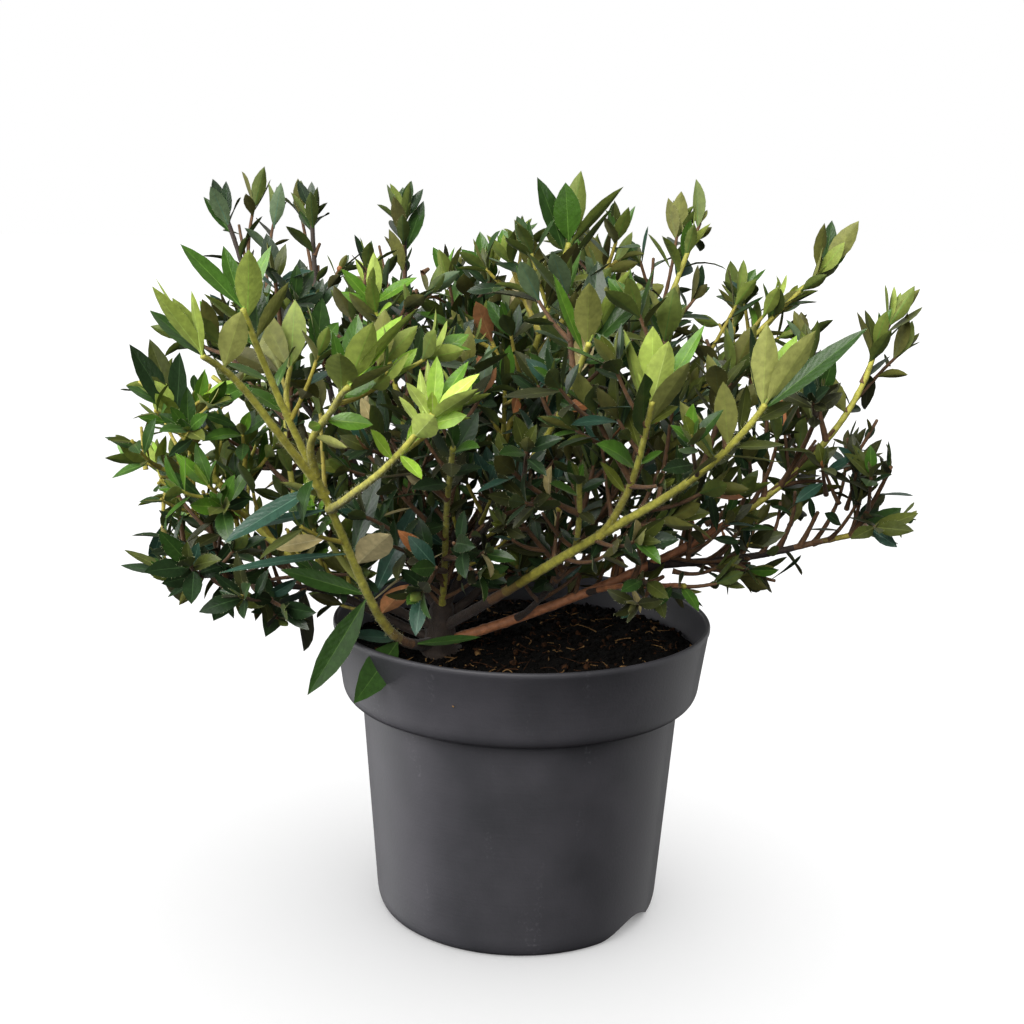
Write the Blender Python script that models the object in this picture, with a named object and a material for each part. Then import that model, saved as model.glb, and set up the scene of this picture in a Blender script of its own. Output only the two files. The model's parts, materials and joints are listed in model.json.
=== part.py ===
"""Potted dwarf rhododendron: a low, many-stemmed evergreen shrub in a round nursery pot.

The origin is the middle of the pot's underside, +Z is up and the plant is seen from -Y.
Boughs spring from a short root crown. Each carries one mass of foliage, which is a stem that
carries on the bough's curve, side twigs that follow a seeded rule, and leaves fused to them.
"""
import math
from collections import namedtuple

import bmesh
import bpy
import numpy as np
from mathutils import Vector
from mathutils.bvhtree import BVHTree

MM = 0.001
GAP = 0.3 * MM

# Pot, in millimetres
RIM_RADIUS = 85.0
POT_HEIGHT = 135.0
BAND_FOOT_RADIUS = 81.0
BAND_FOOT_HEIGHT = 108.0
NECK_RADIUS = 71.9
NECK_HEIGHT = 98.5
FOOT_RADIUS = 61.5
FOOT_RING_WIDTH = 3.0
CORNER_HEIGHT = 9.0
WALL = 1.5
PAD_RADIUS = 38.0
CHANNEL_HEIGHT = 8.0
POT_SIDES = 36

# Drainage notches in the pot's foot, and the drain holes behind them
NOTCH_BEARINGS = (54.0, 234.0)
NOTCH_WIDTH = 46.0
NOTCH_HEIGHT = 8.0
NOTCH_FULLNESS = 0.8
NOTCH_START = 46.0
NOTCH_STEPS = 12
HOLE_COUNT = 4
HOLE_SIDES = 12
HOLE_RADIUS = 4.0
HOLE_CIRCLE = 49.0

# Peat, in millimetres
SOIL_TOP = 123.0
SOIL_EDGE_DROP = 3.0
SOIL_SHOULDER = 12.0

# Root crown, in millimetres
TRUNK_FOOT = (-37.0, -14.0)
TRUNK_HEIGHT = 22.0
TRUNK_LEAN = (2.0, -1.0)
TRUNK_RADII = (10.0, 7.4, 6.2, 5.8, 5.2)
TRUNK_CROWDING = 1.3
TRUNK_SIDES = 10
LOBE_DEPTH = 0.10

# How limbs and twigs are drawn
SEED = 4127
GOLDEN_ANGLE = math.radians(137.508)
SIDE_HINT = (0.31, 0.17, 0.93)
BOUGH_SIDES = 5
BOUGH_STEPS = 5
TWIG_SIDES = 3
STEM_STEPS = 4
TWIG_STEPS = 2
CURVE_STEPS = 60
TAPER_POWER = 0.8
FORK_FOLLOW = 0.4
WANDER = 0.022

# Twigs, in millimetres and as shares
TIP_RADIUS = 1.1
SIDE_RADIUS = 1.2
STEM_SWELL = 1.35
SHOOT_CLEARANCE = 4.5
TURNS_TRIED = 14
HEADING_ALONG = 0.62
HEADING_OUT = 0.85
HEADING_UP = 0.18
TWIG_BEND = 0.55
HIGHEST_TWIG = 0.86
TWIG_REACH = 0.76

# The rounded space that the tips of side twigs keep to, in millimetres
CROWN_MIDDLE = np.array((-6.0, -6.0, 214.0))
CROWN_HALF = np.array((164.0, 156.0, 92.0))

# Leaves, in millimetres, degrees and shares
LEAF_CLEARANCE = 1.8
LIMB_CLEARANCE = 4.5
LEAF_WIDTH_RATIO = 0.42
LEAF_WIDEST = 0.47
LEAF_THICKNESS = 1.3
LEAF_SINK = 0.5
LEAF_FITS = (1.0, 0.78)
LEAF_LIFT = 0.10
WHORL = 4
WHORL_STEP = 0.035
WHORL_SLANT = 60.0
UPRIGHT_SLANT = 12.0
SPIRAL_SPACING = 17.0
FLAT_ANGLE = math.radians(0.1)

# Colour, roughness and metallic value of each finish
FINISHES = {
    "plastic": ((0.055, 0.054, 0.060), 0.42, 0.0),
    "peat": ((0.014, 0.010, 0.008), 0.95, 0.0),
    "old_bark": ((0.30, 0.14, 0.06), 0.80, 0.0),
    "young_bark": ((0.38, 0.38, 0.09), 0.60, 0.0),
    "young": ((0.26, 0.42, 0.07), 0.45, 0.0),
    "green": ((0.09, 0.19, 0.035), 0.42, 0.0),
    "deep": ((0.030, 0.075, 0.032), 0.40, 0.0),
    "olive": ((0.19, 0.22, 0.075), 0.50, 0.0),
}

# Each bough: its name, what it springs from and how far along, the far tip of the shoot that
# it carries (across, depth, height), how far out and up its bend lies as shares of the way to
# the tip, its diameter at the root, the share of the curve at which its mass of foliage
# starts, the number and length of side twigs, the leaf length and the foliage's finish.
Bough = namedtuple("Bough", "name parent at tip out up thick enter sides spread leaf tone")
BOUGHS = tuple(Bough(*row) for row in (
    ("front_left", "trunk", 0.22, (-102, -120, 280), 0.40, 0.01, 5.4, 0.78, 2, 38, 42, "green"),
    ("front_left_outer", "front_left", 0.70, (-113, -138, 265), 0.85, 0.95, 3.4, 0.55, 2, 32, 36, "green"),
    ("front_left_inner", "front_left", 0.74, (-62, -144, 256), 0.40, 0.50, 3.2, 0.44, 2, 28, 36, "young"),
    ("front_bud", "front_left", 0.67, (-32, -163, 250), 0.90, -0.05, 3.2, 0.66, 1, 22, 30, "young"),
    ("front", "trunk", 0.76, (-28, -98, 228), 0.22, 0.40, 3.2, 0.20, 6, 36, 32, "deep"),
    ("left", "trunk", 0.48, (-148, -30, 232), 0.95, 0.50, 4.4, 0.36, 5, 32, 30, "green"),
    ("left_high", "left", 0.24, (-106, 12, 270), 0.50, 0.35, 3.2, 0.25, 4, 40, 34, "deep"),
    ("low_left", "trunk", 0.18, (-164, 6, 198), 0.95, 0.62, 4.2, 0.36, 5, 36, 30, "green"),
    ("low_left_front", "low_left", 0.22, (-148, -34, 160), 0.90, 0.52, 2.8, 0.34, 4, 32, 32, "deep"),
    ("back_left", "trunk", 0.80, (-150, 98, 310), 0.55, 0.35, 4.4, 0.50, 3, 38, 30, "green"),
    ("back_left_inner", "back_left", 0.36, (-106, 92, 312), 0.50, 0.30, 3.2, 0.30, 4, 38, 32, "green"),
    ("far_left", "back_left", 0.30, (-152, 70, 232), 0.60, 0.25, 3.0, 0.30, 4, 38, 34, "green"),
    ("back", "trunk", 0.56, (-62, 100, 312), 0.50, 0.30, 4.2, 0.30, 5, 40, 34, "green"),
    ("rear_left", "back", 0.20, (-76, 140, 222), 0.60, 0.25, 3.0, 0.25, 5, 42, 36, "green"),
    ("middle", "trunk", 1.00, (-64, -34, 276), 0.45, 0.50, 3.4, 0.22, 5, 38, 38, "deep"),
    ("middle_back", "trunk", 0.90, (-26, 40, 266), 0.60, 0.30, 3.6, 0.32, 6, 40, 38, "deep"),
    ("top", "trunk", 0.78, (16, -24, 302), 0.34, 0.24, 4.2, 0.46, 3, 30, 34, "green"),
    ("heart", "top", 0.22, (24, 14, 226), 0.60, 0.25, 3.0, 0.15, 7, 42, 38, "deep"),
    ("right_front", "trunk", 0.50, (84, -124, 250), 0.85, 0.70, 4.8, 0.58, 2, 38, 40, "olive"),
    ("front_right", "right_front", 0.38, (44, -122, 250), 0.05, 0.05, 3.2, 0.44, 2, 34, 38, "green"),
    ("front_right_high", "top", 0.30, (22, -98, 268), 0.80, 0.40, 3.0, 0.48, 2, 32, 38, "olive"),
    ("right", "trunk", 0.12, (150, -8, 262), 0.95, 0.42, 4.8, 0.44, 5, 38, 32, "olive"),
    ("front_low", "right", 0.10, (20, -92, 216), 0.50, 0.30, 2.8, 0.26, 5, 34, 34, "olive"),
    ("over_rim", "right", 0.20, (66, -60, 166), 0.50, 0.40, 2.6, 0.30, 4, 34, 30, "olive"),
    ("low_right", "right", 0.30, (152, -12, 180), 0.95, -0.08, 3.8, 0.35, 5, 36, 30, "olive"),
    ("right_back", "trunk", 0.66, (72, 24, 301), 0.60, 0.25, 4.4, 0.32, 6, 42, 34, "deep"),
    ("right_back_outer", "right_back", 0.22, (120, 40, 276), 0.55, 0.25, 3.2, 0.34, 3, 38, 32, "green"),
    ("back_right", "middle_back", 0.22, (54, 116, 270), 0.60, 0.25, 3.4, 0.28, 6, 44, 36, "green"),
))

# Extra twigs whose tips are given: the mass, where on its stem, and the tip.
Spray = namedtuple("Spray", "mass at tip")
SPRAYS = tuple(Spray(*row) for row in (
    ("front_left", 0.30, (-90, -88, 256)),
    ("front_left_inner", 0.35, (-78, -130, 260)),
    ("left", 0.45, (-162, 2, 236)),
    ("low_left", 0.35, (-148, -14, 192)),
    ("low_left_front", 0.10, (-98, -62, 154)),
    ("middle_back", 0.40, (-8, 52, 268)),
    ("top", 0.55, (40, 2, 296)),
    ("right", 0.25, (120, -46, 244)),
    ("low_right", 0.50, (146, 14, 214)),
    ("right_back_outer", 0.40, (131, 18, 292)),
    ("back_right", 0.30, (98, 122, 224)),
    ("back_right", 0.15, (14, 138, 226)),
    ("front_low", 0.20, (52, -70, 196)),
))


def v3(x, y, z):
    """A point in metres from millimetres."""
    return np.array((x, y, z), dtype=float) * MM


def unit(vector):
    """The same direction with length one."""
    return vector / np.linalg.norm(vector)


def bezier(start, bend, end, count):
    """Points along a quadratic curve, as count + 1 rows."""
    t = np.linspace(0.0, 1.0, count + 1)[:, None]
    return (1 - t) ** 2 * start + 2 * t * (1 - t) * bend + t ** 2 * end


def cross_axes(tangent):
    """Two directions square to a tangent and to each other."""
    side = unit(np.cross(tangent, SIDE_HINT))
    return side, np.cross(tangent, side)


def along(points, share):
    """The point that lies a share of the way along a polyline, and the tangent there."""
    place = min(max(share, 0.0), 1.0) * (len(points) - 1)
    index = min(int(place), len(points) - 2)
    rest = place - index
    tangent = unit(points[index + 1] - points[index])
    return points[index] * (1 - rest) + points[index + 1] * rest, tangent


def add_object(name, mesh, finish):
    """Put a mesh into the scene under a node's name, with a material of its own."""
    colour, roughness, metallic = FINISHES[finish]
    coat = bpy.data.materials.new(name)
    coat.use_nodes = True
    shader = coat.node_tree.nodes["Principled BSDF"]
    shader.inputs["Base Color"].default_value = (*colour, 1.0)
    shader.inputs["Roughness"].default_value = roughness
    shader.inputs["Metallic"].default_value = metallic
    coat.diffuse_color = (*colour, 1.0)
    mesh.materials.clear()
    mesh.materials.append(coat)
    made = bpy.data.objects.new(name, mesh)
    bpy.context.scene.collection.objects.link(made)
    return made


def clear_scene():
    """Remove what the scene holds."""
    for item in list(bpy.data.objects):
        bpy.data.objects.remove(item, do_unlink=True)


def turned(name, profile, sides):
    """A closed mesh turned about Z from a profile that starts and ends on the axis."""
    bm = bmesh.new()
    verts = [bm.verts.new((radius * MM, 0.0, height * MM)) for radius, height in profile]
    edges = [bm.edges.new(pair) for pair in zip(verts, verts[1:])]
    bmesh.ops.spin(
        bm, geom=verts + edges, cent=(0, 0, 0), axis=(0, 0, 1),
        angle=math.tau, steps=sides, use_merge=True,
    )
    bmesh.ops.remove_doubles(bm, verts=bm.verts, dist=0.00001)
    mesh = mesh_from(bm, name)
    mesh.shade_smooth()
    mesh.set_sharp_from_angle(angle=math.radians(35))
    return mesh


def pot_profile():
    """The pot's section: underside, outer wall, lip, inner wall and floor."""
    foot_inside = FOOT_RADIUS - FOOT_RING_WIDTH
    underside = [
        (0.0, 0.0), (PAD_RADIUS, 0.0), (PAD_RADIUS + WALL, CHANNEL_HEIGHT),
        (foot_inside - 1.0, CHANNEL_HEIGHT), (foot_inside, 0.0), (FOOT_RADIUS, 0.0),
    ]
    outside = [
        (FOOT_RADIUS + 2.2, 2.6), (FOOT_RADIUS + 3.6, CORNER_HEIGHT), (NECK_RADIUS, NECK_HEIGHT),
        (NECK_RADIUS + 4.4, NECK_HEIGHT + 1.9), (BAND_FOOT_RADIUS - 1.2, BAND_FOOT_HEIGHT - 4.6),
        (BAND_FOOT_RADIUS, BAND_FOOT_HEIGHT), (RIM_RADIUS, POT_HEIGHT - 1.0),
        (RIM_RADIUS - 0.5, POT_HEIGHT),
    ]
    lip_inside = (RIM_RADIUS - WALL - 0.5, POT_HEIGHT)
    inside = [(radius, height) for radius, height in reversed(inner_wall())]
    return underside + outside + [lip_inside] + inside


def inner_wall():
    """The inside of the pot from the middle of its floor up to the foot of the band."""
    floor = CHANNEL_HEIGHT + WALL
    return [
        (0.0, WALL), (PAD_RADIUS - WALL, WALL), (PAD_RADIUS, floor), (FOOT_RADIUS + 1.9, floor),
        (NECK_RADIUS - WALL, NECK_HEIGHT + 1.0), (NECK_RADIUS + 4.0, NECK_HEIGHT + 3.6),
        (BAND_FOOT_RADIUS - WALL, BAND_FOOT_HEIGHT),
    ]


def cutter_object(name, bm):
    """A closed shape that only cuts: it is kept out of the model itself."""
    made = bpy.data.objects.new(name, mesh_from(bm, name))
    bpy.context.scene.collection.objects.link(made)
    made.hide_render = True
    made.display_type = "WIRE"
    return made


def notch_cutter(bearing):
    """A bell-shaped prism that cuts one drainage notch in the foot ring."""
    below = -2.0
    outline = [(-NOTCH_WIDTH / 2, below)]
    for share in np.linspace(0.0, 1.0, NOTCH_STEPS + 1):
        bell = (0.5 - 0.5 * math.cos(math.tau * share)) ** NOTCH_FULLNESS
        outline.append(((share - 0.5) * NOTCH_WIDTH, NOTCH_HEIGHT * bell - GAP / MM))
    outline.append((NOTCH_WIDTH / 2, below))
    bm = bmesh.new()
    face = bm.faces.new([bm.verts.new(v3(x, -NOTCH_START, z)) for x, z in outline])
    pushed = bmesh.ops.extrude_face_region(bm, geom=[face])
    moved = [item for item in pushed["geom"] if isinstance(item, bmesh.types.BMVert)]
    bmesh.ops.translate(bm, verts=moved, vec=v3(0, NOTCH_START - RIM_RADIUS, 0))
    made = cutter_object("notch_cutter", bm)
    made.rotation_euler = (0, 0, math.radians(bearing))
    return made


def hole_cutter(bearing):
    """A short cylinder that cuts one drain hole in the floor of the channel."""
    bm = bmesh.new()
    bmesh.ops.create_cone(
        bm, cap_ends=True, segments=HOLE_SIDES, radius1=HOLE_RADIUS * MM,
        radius2=HOLE_RADIUS * MM, depth=6 * WALL * MM,
    )
    made = cutter_object("hole_cutter", bm)
    turn = math.radians(bearing)
    made.location = v3(
        HOLE_CIRCLE * math.sin(turn), -HOLE_CIRCLE * math.cos(turn), CHANNEL_HEIGHT + WALL / 2,
    )
    return made


def make_pot():
    """The nursery pot with its notched foot and drained floor."""
    pot = add_object("pot", turned("pot", pot_profile(), POT_SIDES), "plastic")
    cutters = [notch_cutter(bearing) for bearing in NOTCH_BEARINGS]
    for index in range(HOLE_COUNT):
        cutters.append(hole_cutter(NOTCH_BEARINGS[0] + index * 360.0 / HOLE_COUNT))
    for cutter in cutters:
        cut = pot.modifiers.new("cut", "BOOLEAN")
        cut.operation = "DIFFERENCE"
        cut.object = cutter


def make_soil():
    """The peat that fills the pot to a little below its rim."""
    gap = GAP / MM
    edge_height = SOIL_TOP - SOIL_EDGE_DROP
    wall_there = np.interp(
        edge_height, (BAND_FOOT_HEIGHT, POT_HEIGHT),
        (BAND_FOOT_RADIUS - WALL, RIM_RADIUS - WALL - 0.5),
    )
    inside = [(max(radius - gap, 0.0), height + gap) for radius, height in inner_wall()]
    top = [
        (wall_there - gap, edge_height), (wall_there - SOIL_SHOULDER, SOIL_TOP), (0.0, SOIL_TOP),
    ]
    add_object("soil", turned("soil", inside + top, POT_SIDES), "peat")


def skin(bm, rings):
    """Close a row of rings of points into one solid with flat ends."""
    rows = [[bm.verts.new(spot) for spot in ring] for ring in rings]
    for lower, upper in zip(rows, rows[1:]):
        for index, vert in enumerate(lower):
            following = (index + 1) % len(lower)
            bm.faces.new((vert, lower[following], upper[following], upper[index]))
    bm.faces.new(list(reversed(rows[0])))
    bm.faces.new(rows[-1])


def ring_at(point, side, other, radius, sides):
    """The corners of a round cross-section."""
    angles = math.tau * np.arange(sides) / sides
    return point + radius * (np.outer(np.cos(angles), side) + np.outer(np.sin(angles), other))


def tube(bm, points, radii, sides):
    """Add a closed tapered tube along a polyline, with flat ends."""
    tangents = np.gradient(points, axis=0)
    side = cross_axes(unit(tangents[0]))[0]
    rings = []
    for point, tangent, radius in zip(points, tangents, radii):
        tangent = unit(tangent)
        side = unit(side - tangent * np.dot(side, tangent))
        rings.append(ring_at(point, side, np.cross(tangent, side), radius, sides))
    skin(bm, rings)


def mesh_from(bm, name):
    """Turn a bmesh into a mesh with its faces pointing out."""
    bmesh.ops.recalc_face_normals(bm, faces=bm.faces)
    mesh = bpy.data.meshes.new(name)
    bm.to_mesh(mesh)
    bm.free()
    return mesh


def trunk_line():
    """The root crown's axis, from its flat cut at soil level up to the fork."""
    foot = v3(*TRUNK_FOOT, SOIL_TOP + GAP / MM)
    rise = v3(*TRUNK_LEAN, TRUNK_HEIGHT)
    shares = np.linspace(0.0, 1.0, len(TRUNK_RADII)) ** TRUNK_CROWDING
    return np.array([foot + rise * share for share in shares])


def make_trunk():
    """The short root crown: flared into three lobes at the soil, with a flat underside."""
    rings = []
    flare = TRUNK_RADII[0] - TRUNK_RADII[-1]
    for point, radius in zip(trunk_line(), TRUNK_RADII):
        ring = []
        for index in range(TRUNK_SIDES):
            angle = math.tau * index / TRUNK_SIDES
            lobe = 1.0 + LOBE_DEPTH * math.sin(3 * angle) * (radius - TRUNK_RADII[-1]) / flare
            reach = radius * lobe
            ring.append(point + v3(reach * math.cos(angle), reach * math.sin(angle), 0.0))
        rings.append(ring)
    bm = bmesh.new()
    skin(bm, rings)
    return add_object("trunk", mesh_from(bm, "trunk"), "old_bark")


def limb_curve(bough, curves, draw):
    """The whole curve of a bough and the shoot that it carries, as fine points."""
    if bough.parent == "trunk":
        start = along(trunk_line(), bough.at)[0]
    else:
        start, tangent = along(curves[bough.parent], bough.at)
    way = v3(*bough.tip) - start
    length = np.linalg.norm(way)
    bend = start + way * np.array((bough.out, bough.out, bough.up))
    if bough.parent != "trunk":
        ahead = start + tangent * length * 0.5
        bend = bend * (1.0 - FORK_FOLLOW) + ahead * FORK_FOLLOW
    points = bezier(start, bend, start + way, CURVE_STEPS)
    wander = draw.normal(0.0, WANDER, 3) * length
    share = np.linspace(0.0, 1.0, len(points))[:, None]
    return points + wander * np.sin(math.tau * share) * share * (1 - share) * 2.0


def share_clear_of(points, radius, tree):
    """The first share along a curve at which the limb's end is a gap clear of a solid."""
    for share in np.linspace(0.0, 1.0, 10 * CURVE_STEPS):
        point, tangent = along(points, share)
        corners = ring_at(point, *cross_axes(tangent), radius, BOUGH_SIDES)
        middles = (corners + np.roll(corners, 1, axis=0)) / 2
        spots = [Vector(spot) for spot in (*corners, *middles, point)]
        nearest = [(spot, *tree.find_nearest(spot)) for spot in spots]
        outside = all((spot - touch).dot(normal) > 0 for spot, touch, normal, _, _ in nearest)
        if outside and min(distance for *_, distance in nearest) >= GAP:
            return share
    raise ValueError("a limb never leaves its parent")


def resample(points, first, last, count):
    """Evenly spread points between two shares of a curve."""
    return np.array([along(points, share)[0] for share in np.linspace(first, last, count + 1)])


def bough_radius(bough, share):
    """The limb's radius in metres at a share of its whole curve."""
    root = bough.thick * 0.5
    return (root + (TIP_RADIUS - root) * share ** TAPER_POWER) * MM


def make_bough(bough, points, tree):
    """One tapering limb from its parent to where it enters its mass."""
    first = share_clear_of(points, bough_radius(bough, 0.0), tree)
    shares = np.linspace(first, bough.enter, BOUGH_STEPS + 1)
    line = np.array([along(points, share)[0] for share in shares])
    bm = bmesh.new()
    tube(bm, line, [bough_radius(bough, share) for share in shares], BOUGH_SIDES)
    return add_object("bough_" + bough.name, mesh_from(bm, bough.name), "young_bark")


def line_length(points):
    """The length of a polyline."""
    return np.sum(np.linalg.norm(np.diff(points, axis=0), axis=1))


def stem_line(bough, points):
    """The mass's own stem, which starts a gap beyond the bough's tip."""
    first = bough.enter + 1.15 * GAP / line_length(points)
    return resample(points, first, 1.0, STEM_STEPS)


def side_twig(stem, share, turn, length, lift):
    """A twig that leaves the stem at a slant and turns up towards the light."""
    start, tangent = along(stem, share)
    side, other = cross_axes(tangent)
    radial = math.cos(turn) * side + math.sin(turn) * other
    upward = np.array((0.0, 0.0, 1.0))
    heading = unit(tangent * HEADING_ALONG + radial * HEADING_OUT + upward * HEADING_UP)
    end = start + (heading + upward * lift) * length
    return bezier(start, start + heading * length * TWIG_BEND, end, TWIG_STEPS)


def distance_to(points, others):
    """The least distance between two sets of points."""
    return np.min(np.linalg.norm(points[:, None, :] - others[None, :, :], axis=2))


def inside_pot(points):
    """Whether any point is in or too near the pot's wall, rim or peat."""
    radius = np.hypot(points[:, 0], points[:, 1]) / MM
    height = points[:, 2] / MM
    near_pot = (radius < RIM_RADIUS + 2.0) & (height < POT_HEIGHT + 1.5)
    over_soil = (radius < BAND_FOOT_RADIUS - 5.0) & (height > SOIL_TOP + 1.5)
    return bool(np.any(near_pot & ~over_soil))


def in_crown(point):
    """Whether a point lies in the rounded space that the side twigs' tips keep to."""
    return np.sum(((point / MM - CROWN_MIDDLE) / CROWN_HALF) ** 2) < 1.0


def roomiest_twig(stem, share, turn, length, lift, taken, limb_spots):
    """Of several turns about the stem, the twig whose tip has the most free room round it."""
    best = None
    best_room = SHOOT_CLEARANCE * MM
    for attempt in range(TURNS_TRIED):
        twig = side_twig(stem, share, turn + attempt * GOLDEN_ANGLE, length, lift)
        fine = resample(twig, 0.15, 1.0, 10)
        if inside_pot(fine) or not in_crown(twig[-1]):
            continue
        if distance_to(fine[2:], taken) < SHOOT_CLEARANCE * MM:
            continue
        if distance_to(fine[1:], limb_spots) < SHOOT_CLEARANCE * MM:
            continue
        room = distance_to(fine[-3:], taken)
        if room > best_room:
            best = twig
            best_room = room
    return best


def given_twig(stem, spray):
    """A twig from the stem to a given tip."""
    start, tangent = along(stem, spray.at)
    way = v3(*spray.tip) - start
    bend = start + way * 0.4 + tangent * np.linalg.norm(way) * 0.2
    return bezier(start, bend, start + way, TWIG_STEPS)


def grow_twigs(curves, limb_spots):
    """Every mass's stem and side twigs, each kept clear of its neighbours."""
    masses = {bough.name: [stem_line(bough, curves[bough.name])] for bough in BOUGHS}
    spots = {name: [resample(twigs[0], 0.0, 1.0, 24)] for name, twigs in masses.items()}
    for spray in SPRAYS:
        twig = given_twig(masses[spray.mass][0], spray)
        masses[spray.mass].append(twig)
        spots[spray.mass].append(resample(twig, 0.0, 1.0, 10))
    draw = np.random.RandomState(SEED + 1)
    for index in range(max(bough.sides for bough in BOUGHS)):
        for bough in BOUGHS:
            place, size, rise, start_turn = draw.uniform(0.0, 1.0, 4)
            if index >= bough.sides:
                continue
            share = HIGHEST_TWIG - TWIG_REACH * (index + 0.3 + 0.4 * place) / bough.sides
            length = bough.spread * MM * (0.75 + 0.35 * size)
            taken = np.concatenate([row for rows in spots.values() for row in rows])
            twig = roomiest_twig(
                masses[bough.name][0], share, math.tau * start_turn, length,
                0.05 + 0.25 * rise, taken, limb_spots,
            )
            if twig is not None:
                masses[bough.name].append(twig)
                spots[bough.name].append(resample(twig, 0.0, 1.0, 10))
    return masses, spots


def leaf_spots(root, heading, side, length, width):
    """Sample points over a leaf blade, for the tests that keep it in its space."""
    rows = [root + heading * length * share for share in (0.18, 0.45, 0.75, 1.0)]
    for share in (0.3, 0.45, 0.65):
        half = width * 0.5 * (1.0 - abs(share - LEAF_WIDEST) * 1.6)
        rows.append(root + heading * length * share + side * half)
        rows.append(root + heading * length * share - side * half)
    return np.array(rows)


def outer_blade(root, heading, side, length, width):
    """A flat kite for the part of a leaf that lies clear of its twig."""
    middle = root + heading * length * LEAF_WIDEST
    corners = (
        root + heading * length * 0.22, middle + side * width * 0.5,
        root + heading * length, middle - side * width * 0.5,
    )
    return BVHTree.FromPolygons([tuple(corner) for corner in corners], [(0, 1, 2), (0, 2, 3)])


def leaf_solid(root, heading, side, length, width):
    """One leaf as a closed four-faced blade: a ridge along its top, its foot sunk in the twig."""
    facing = np.cross(side, heading)
    middle = root + heading * length * LEAF_WIDEST - facing * LEAF_THICKNESS * MM
    bm = bmesh.new()
    foot = bm.verts.new(root - heading * LEAF_SINK * MM)
    tip = bm.verts.new(root + heading * length)
    left = bm.verts.new(middle + side * width * 0.5)
    right = bm.verts.new(middle - side * width * 0.5)
    for corners in ((foot, left, tip), (tip, right, foot), (foot, right, left), (tip, left, right)):
        bm.faces.new(corners)
    return mesh_from(bm, "leaf")


def leaf_places(twig, leader, draw):
    """Where leaves stand on a twig: share along it, turn about it, slant from it and size."""
    turn = draw.uniform(0.0, math.tau)
    places = []
    lowest = 0.10 if leader else 0.30
    count = int((1.0 - lowest) * line_length(twig) / (SPIRAL_SPACING * MM))
    for index in range(count):
        share = lowest + (0.9 - lowest) * (index + 0.5) / count
        places.append((share, turn, math.radians(draw.uniform(48, 68)), draw.uniform(0.75, 0.95)))
        turn += GOLDEN_ANGLE
    for index in range(WHORL):
        slant = WHORL_SLANT + (UPRIGHT_SLANT - WHORL_SLANT) * index / (WHORL - 1)
        slant += draw.uniform(-8, 8)
        share = 1.0 - WHORL_STEP * (WHORL - index)
        places.append((share, turn, math.radians(slant), draw.uniform(0.86, 1.02)))
        turn += math.tau / WHORL + math.radians(draw.uniform(-14, 14))
    return places


def leaf_frame(twig, share, turn, slant):
    """A leaf's root, its heading and the direction across its blade."""
    root, tangent = along(twig, share)
    side, other = cross_axes(tangent)
    radial = math.cos(turn) * side + math.sin(turn) * other
    upward = np.array((0.0, 0.0, LEAF_LIFT))
    heading = unit(math.cos(slant) * tangent + math.sin(slant) * radial + upward)
    return root, heading, unit(np.cross(heading, tangent))


def largest_body(mesh):
    """Keep only the mesh's outer skin: loose scraps and sealed hollows are dropped."""
    bm = bmesh.new()
    bm.from_mesh(mesh)
    left = set(bm.verts)
    bodies = []
    while left:
        stack = [left.pop()]
        body = set(stack)
        while stack:
            vert = stack.pop()
            for edge in vert.link_edges:
                other = edge.other_vert(vert)
                if other in left:
                    left.remove(other)
                    body.add(other)
                    stack.append(other)
        bodies.append(body)
    keep = max(bodies, key=len)
    for body in bodies:
        if body is not keep:
            bmesh.ops.delete(bm, geom=list(body), context="VERTS")
    bmesh.ops.dissolve_limit(bm, angle_limit=FLAT_ANGLE, verts=bm.verts, edges=bm.edges)
    bmesh.ops.triangulate(bm, faces=bm.faces)
    bm.to_mesh(mesh)
    bm.free()


def fuse(name, meshes):
    """Join closed meshes into one by a single Boolean union on a collection."""
    collection = bpy.data.collections.new(name)
    bpy.context.scene.collection.children.link(collection)
    base = bpy.data.objects.new(name, meshes[0])
    bpy.context.scene.collection.objects.link(base)
    for mesh in meshes[1:]:
        collection.objects.link(bpy.data.objects.new(mesh.name, mesh))
    join = base.modifiers.new("join", "BOOLEAN")
    join.operation = "UNION"
    join.operand_type = "COLLECTION"
    join.collection = collection
    depsgraph = bpy.context.evaluated_depsgraph_get()
    joined = bpy.data.meshes.new_from_object(base.evaluated_get(depsgraph))
    for item in list(collection.objects) + [base]:
        bpy.data.objects.remove(item, do_unlink=True)
    bpy.data.collections.remove(collection)
    largest_body(joined)
    return joined


def in_its_space(blade, own, foreign, limb_spots):
    """Whether a leaf stays nearer its own twigs than any other's, and clear of limbs and pot."""
    gap_own = np.min(np.linalg.norm(blade[:, None] - own[None], axis=2), axis=1)
    gap_foreign = np.min(np.linalg.norm(blade[:, None] - foreign[None], axis=2), axis=1)
    return (
        np.all(gap_foreign - gap_own > LEAF_CLEARANCE * MM)
        and distance_to(blade, limb_spots) > LIMB_CLEARANCE * MM
        and not inside_pot(blade)
    )


def mass_leaves(bough, twigs, spots, limb_spots, draw):
    """The leaves of one mass: each is skipped where it would leave its space or cut another."""
    own = np.concatenate(spots[bough.name])
    foreign = np.concatenate([
        row for name, rows in spots.items() if name != bough.name for row in rows
    ])
    leaves = []
    outers = []
    for index, twig in enumerate(twigs):
        for share, turn, slant, scale in leaf_places(twig, index == 0, draw):
            frame = leaf_frame(twig, share, turn, slant)
            for fit in LEAF_FITS:
                length = bough.leaf * MM * scale * fit
                size = (length, length * LEAF_WIDTH_RATIO)
                outer = outer_blade(*frame, *size)
                if not in_its_space(leaf_spots(*frame, *size), own, foreign, limb_spots):
                    continue
                if any(outer.overlap(other) for other in outers):
                    continue
                outers.append(outer)
                leaves.append(leaf_solid(*frame, *size))
                break
    return leaves


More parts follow.
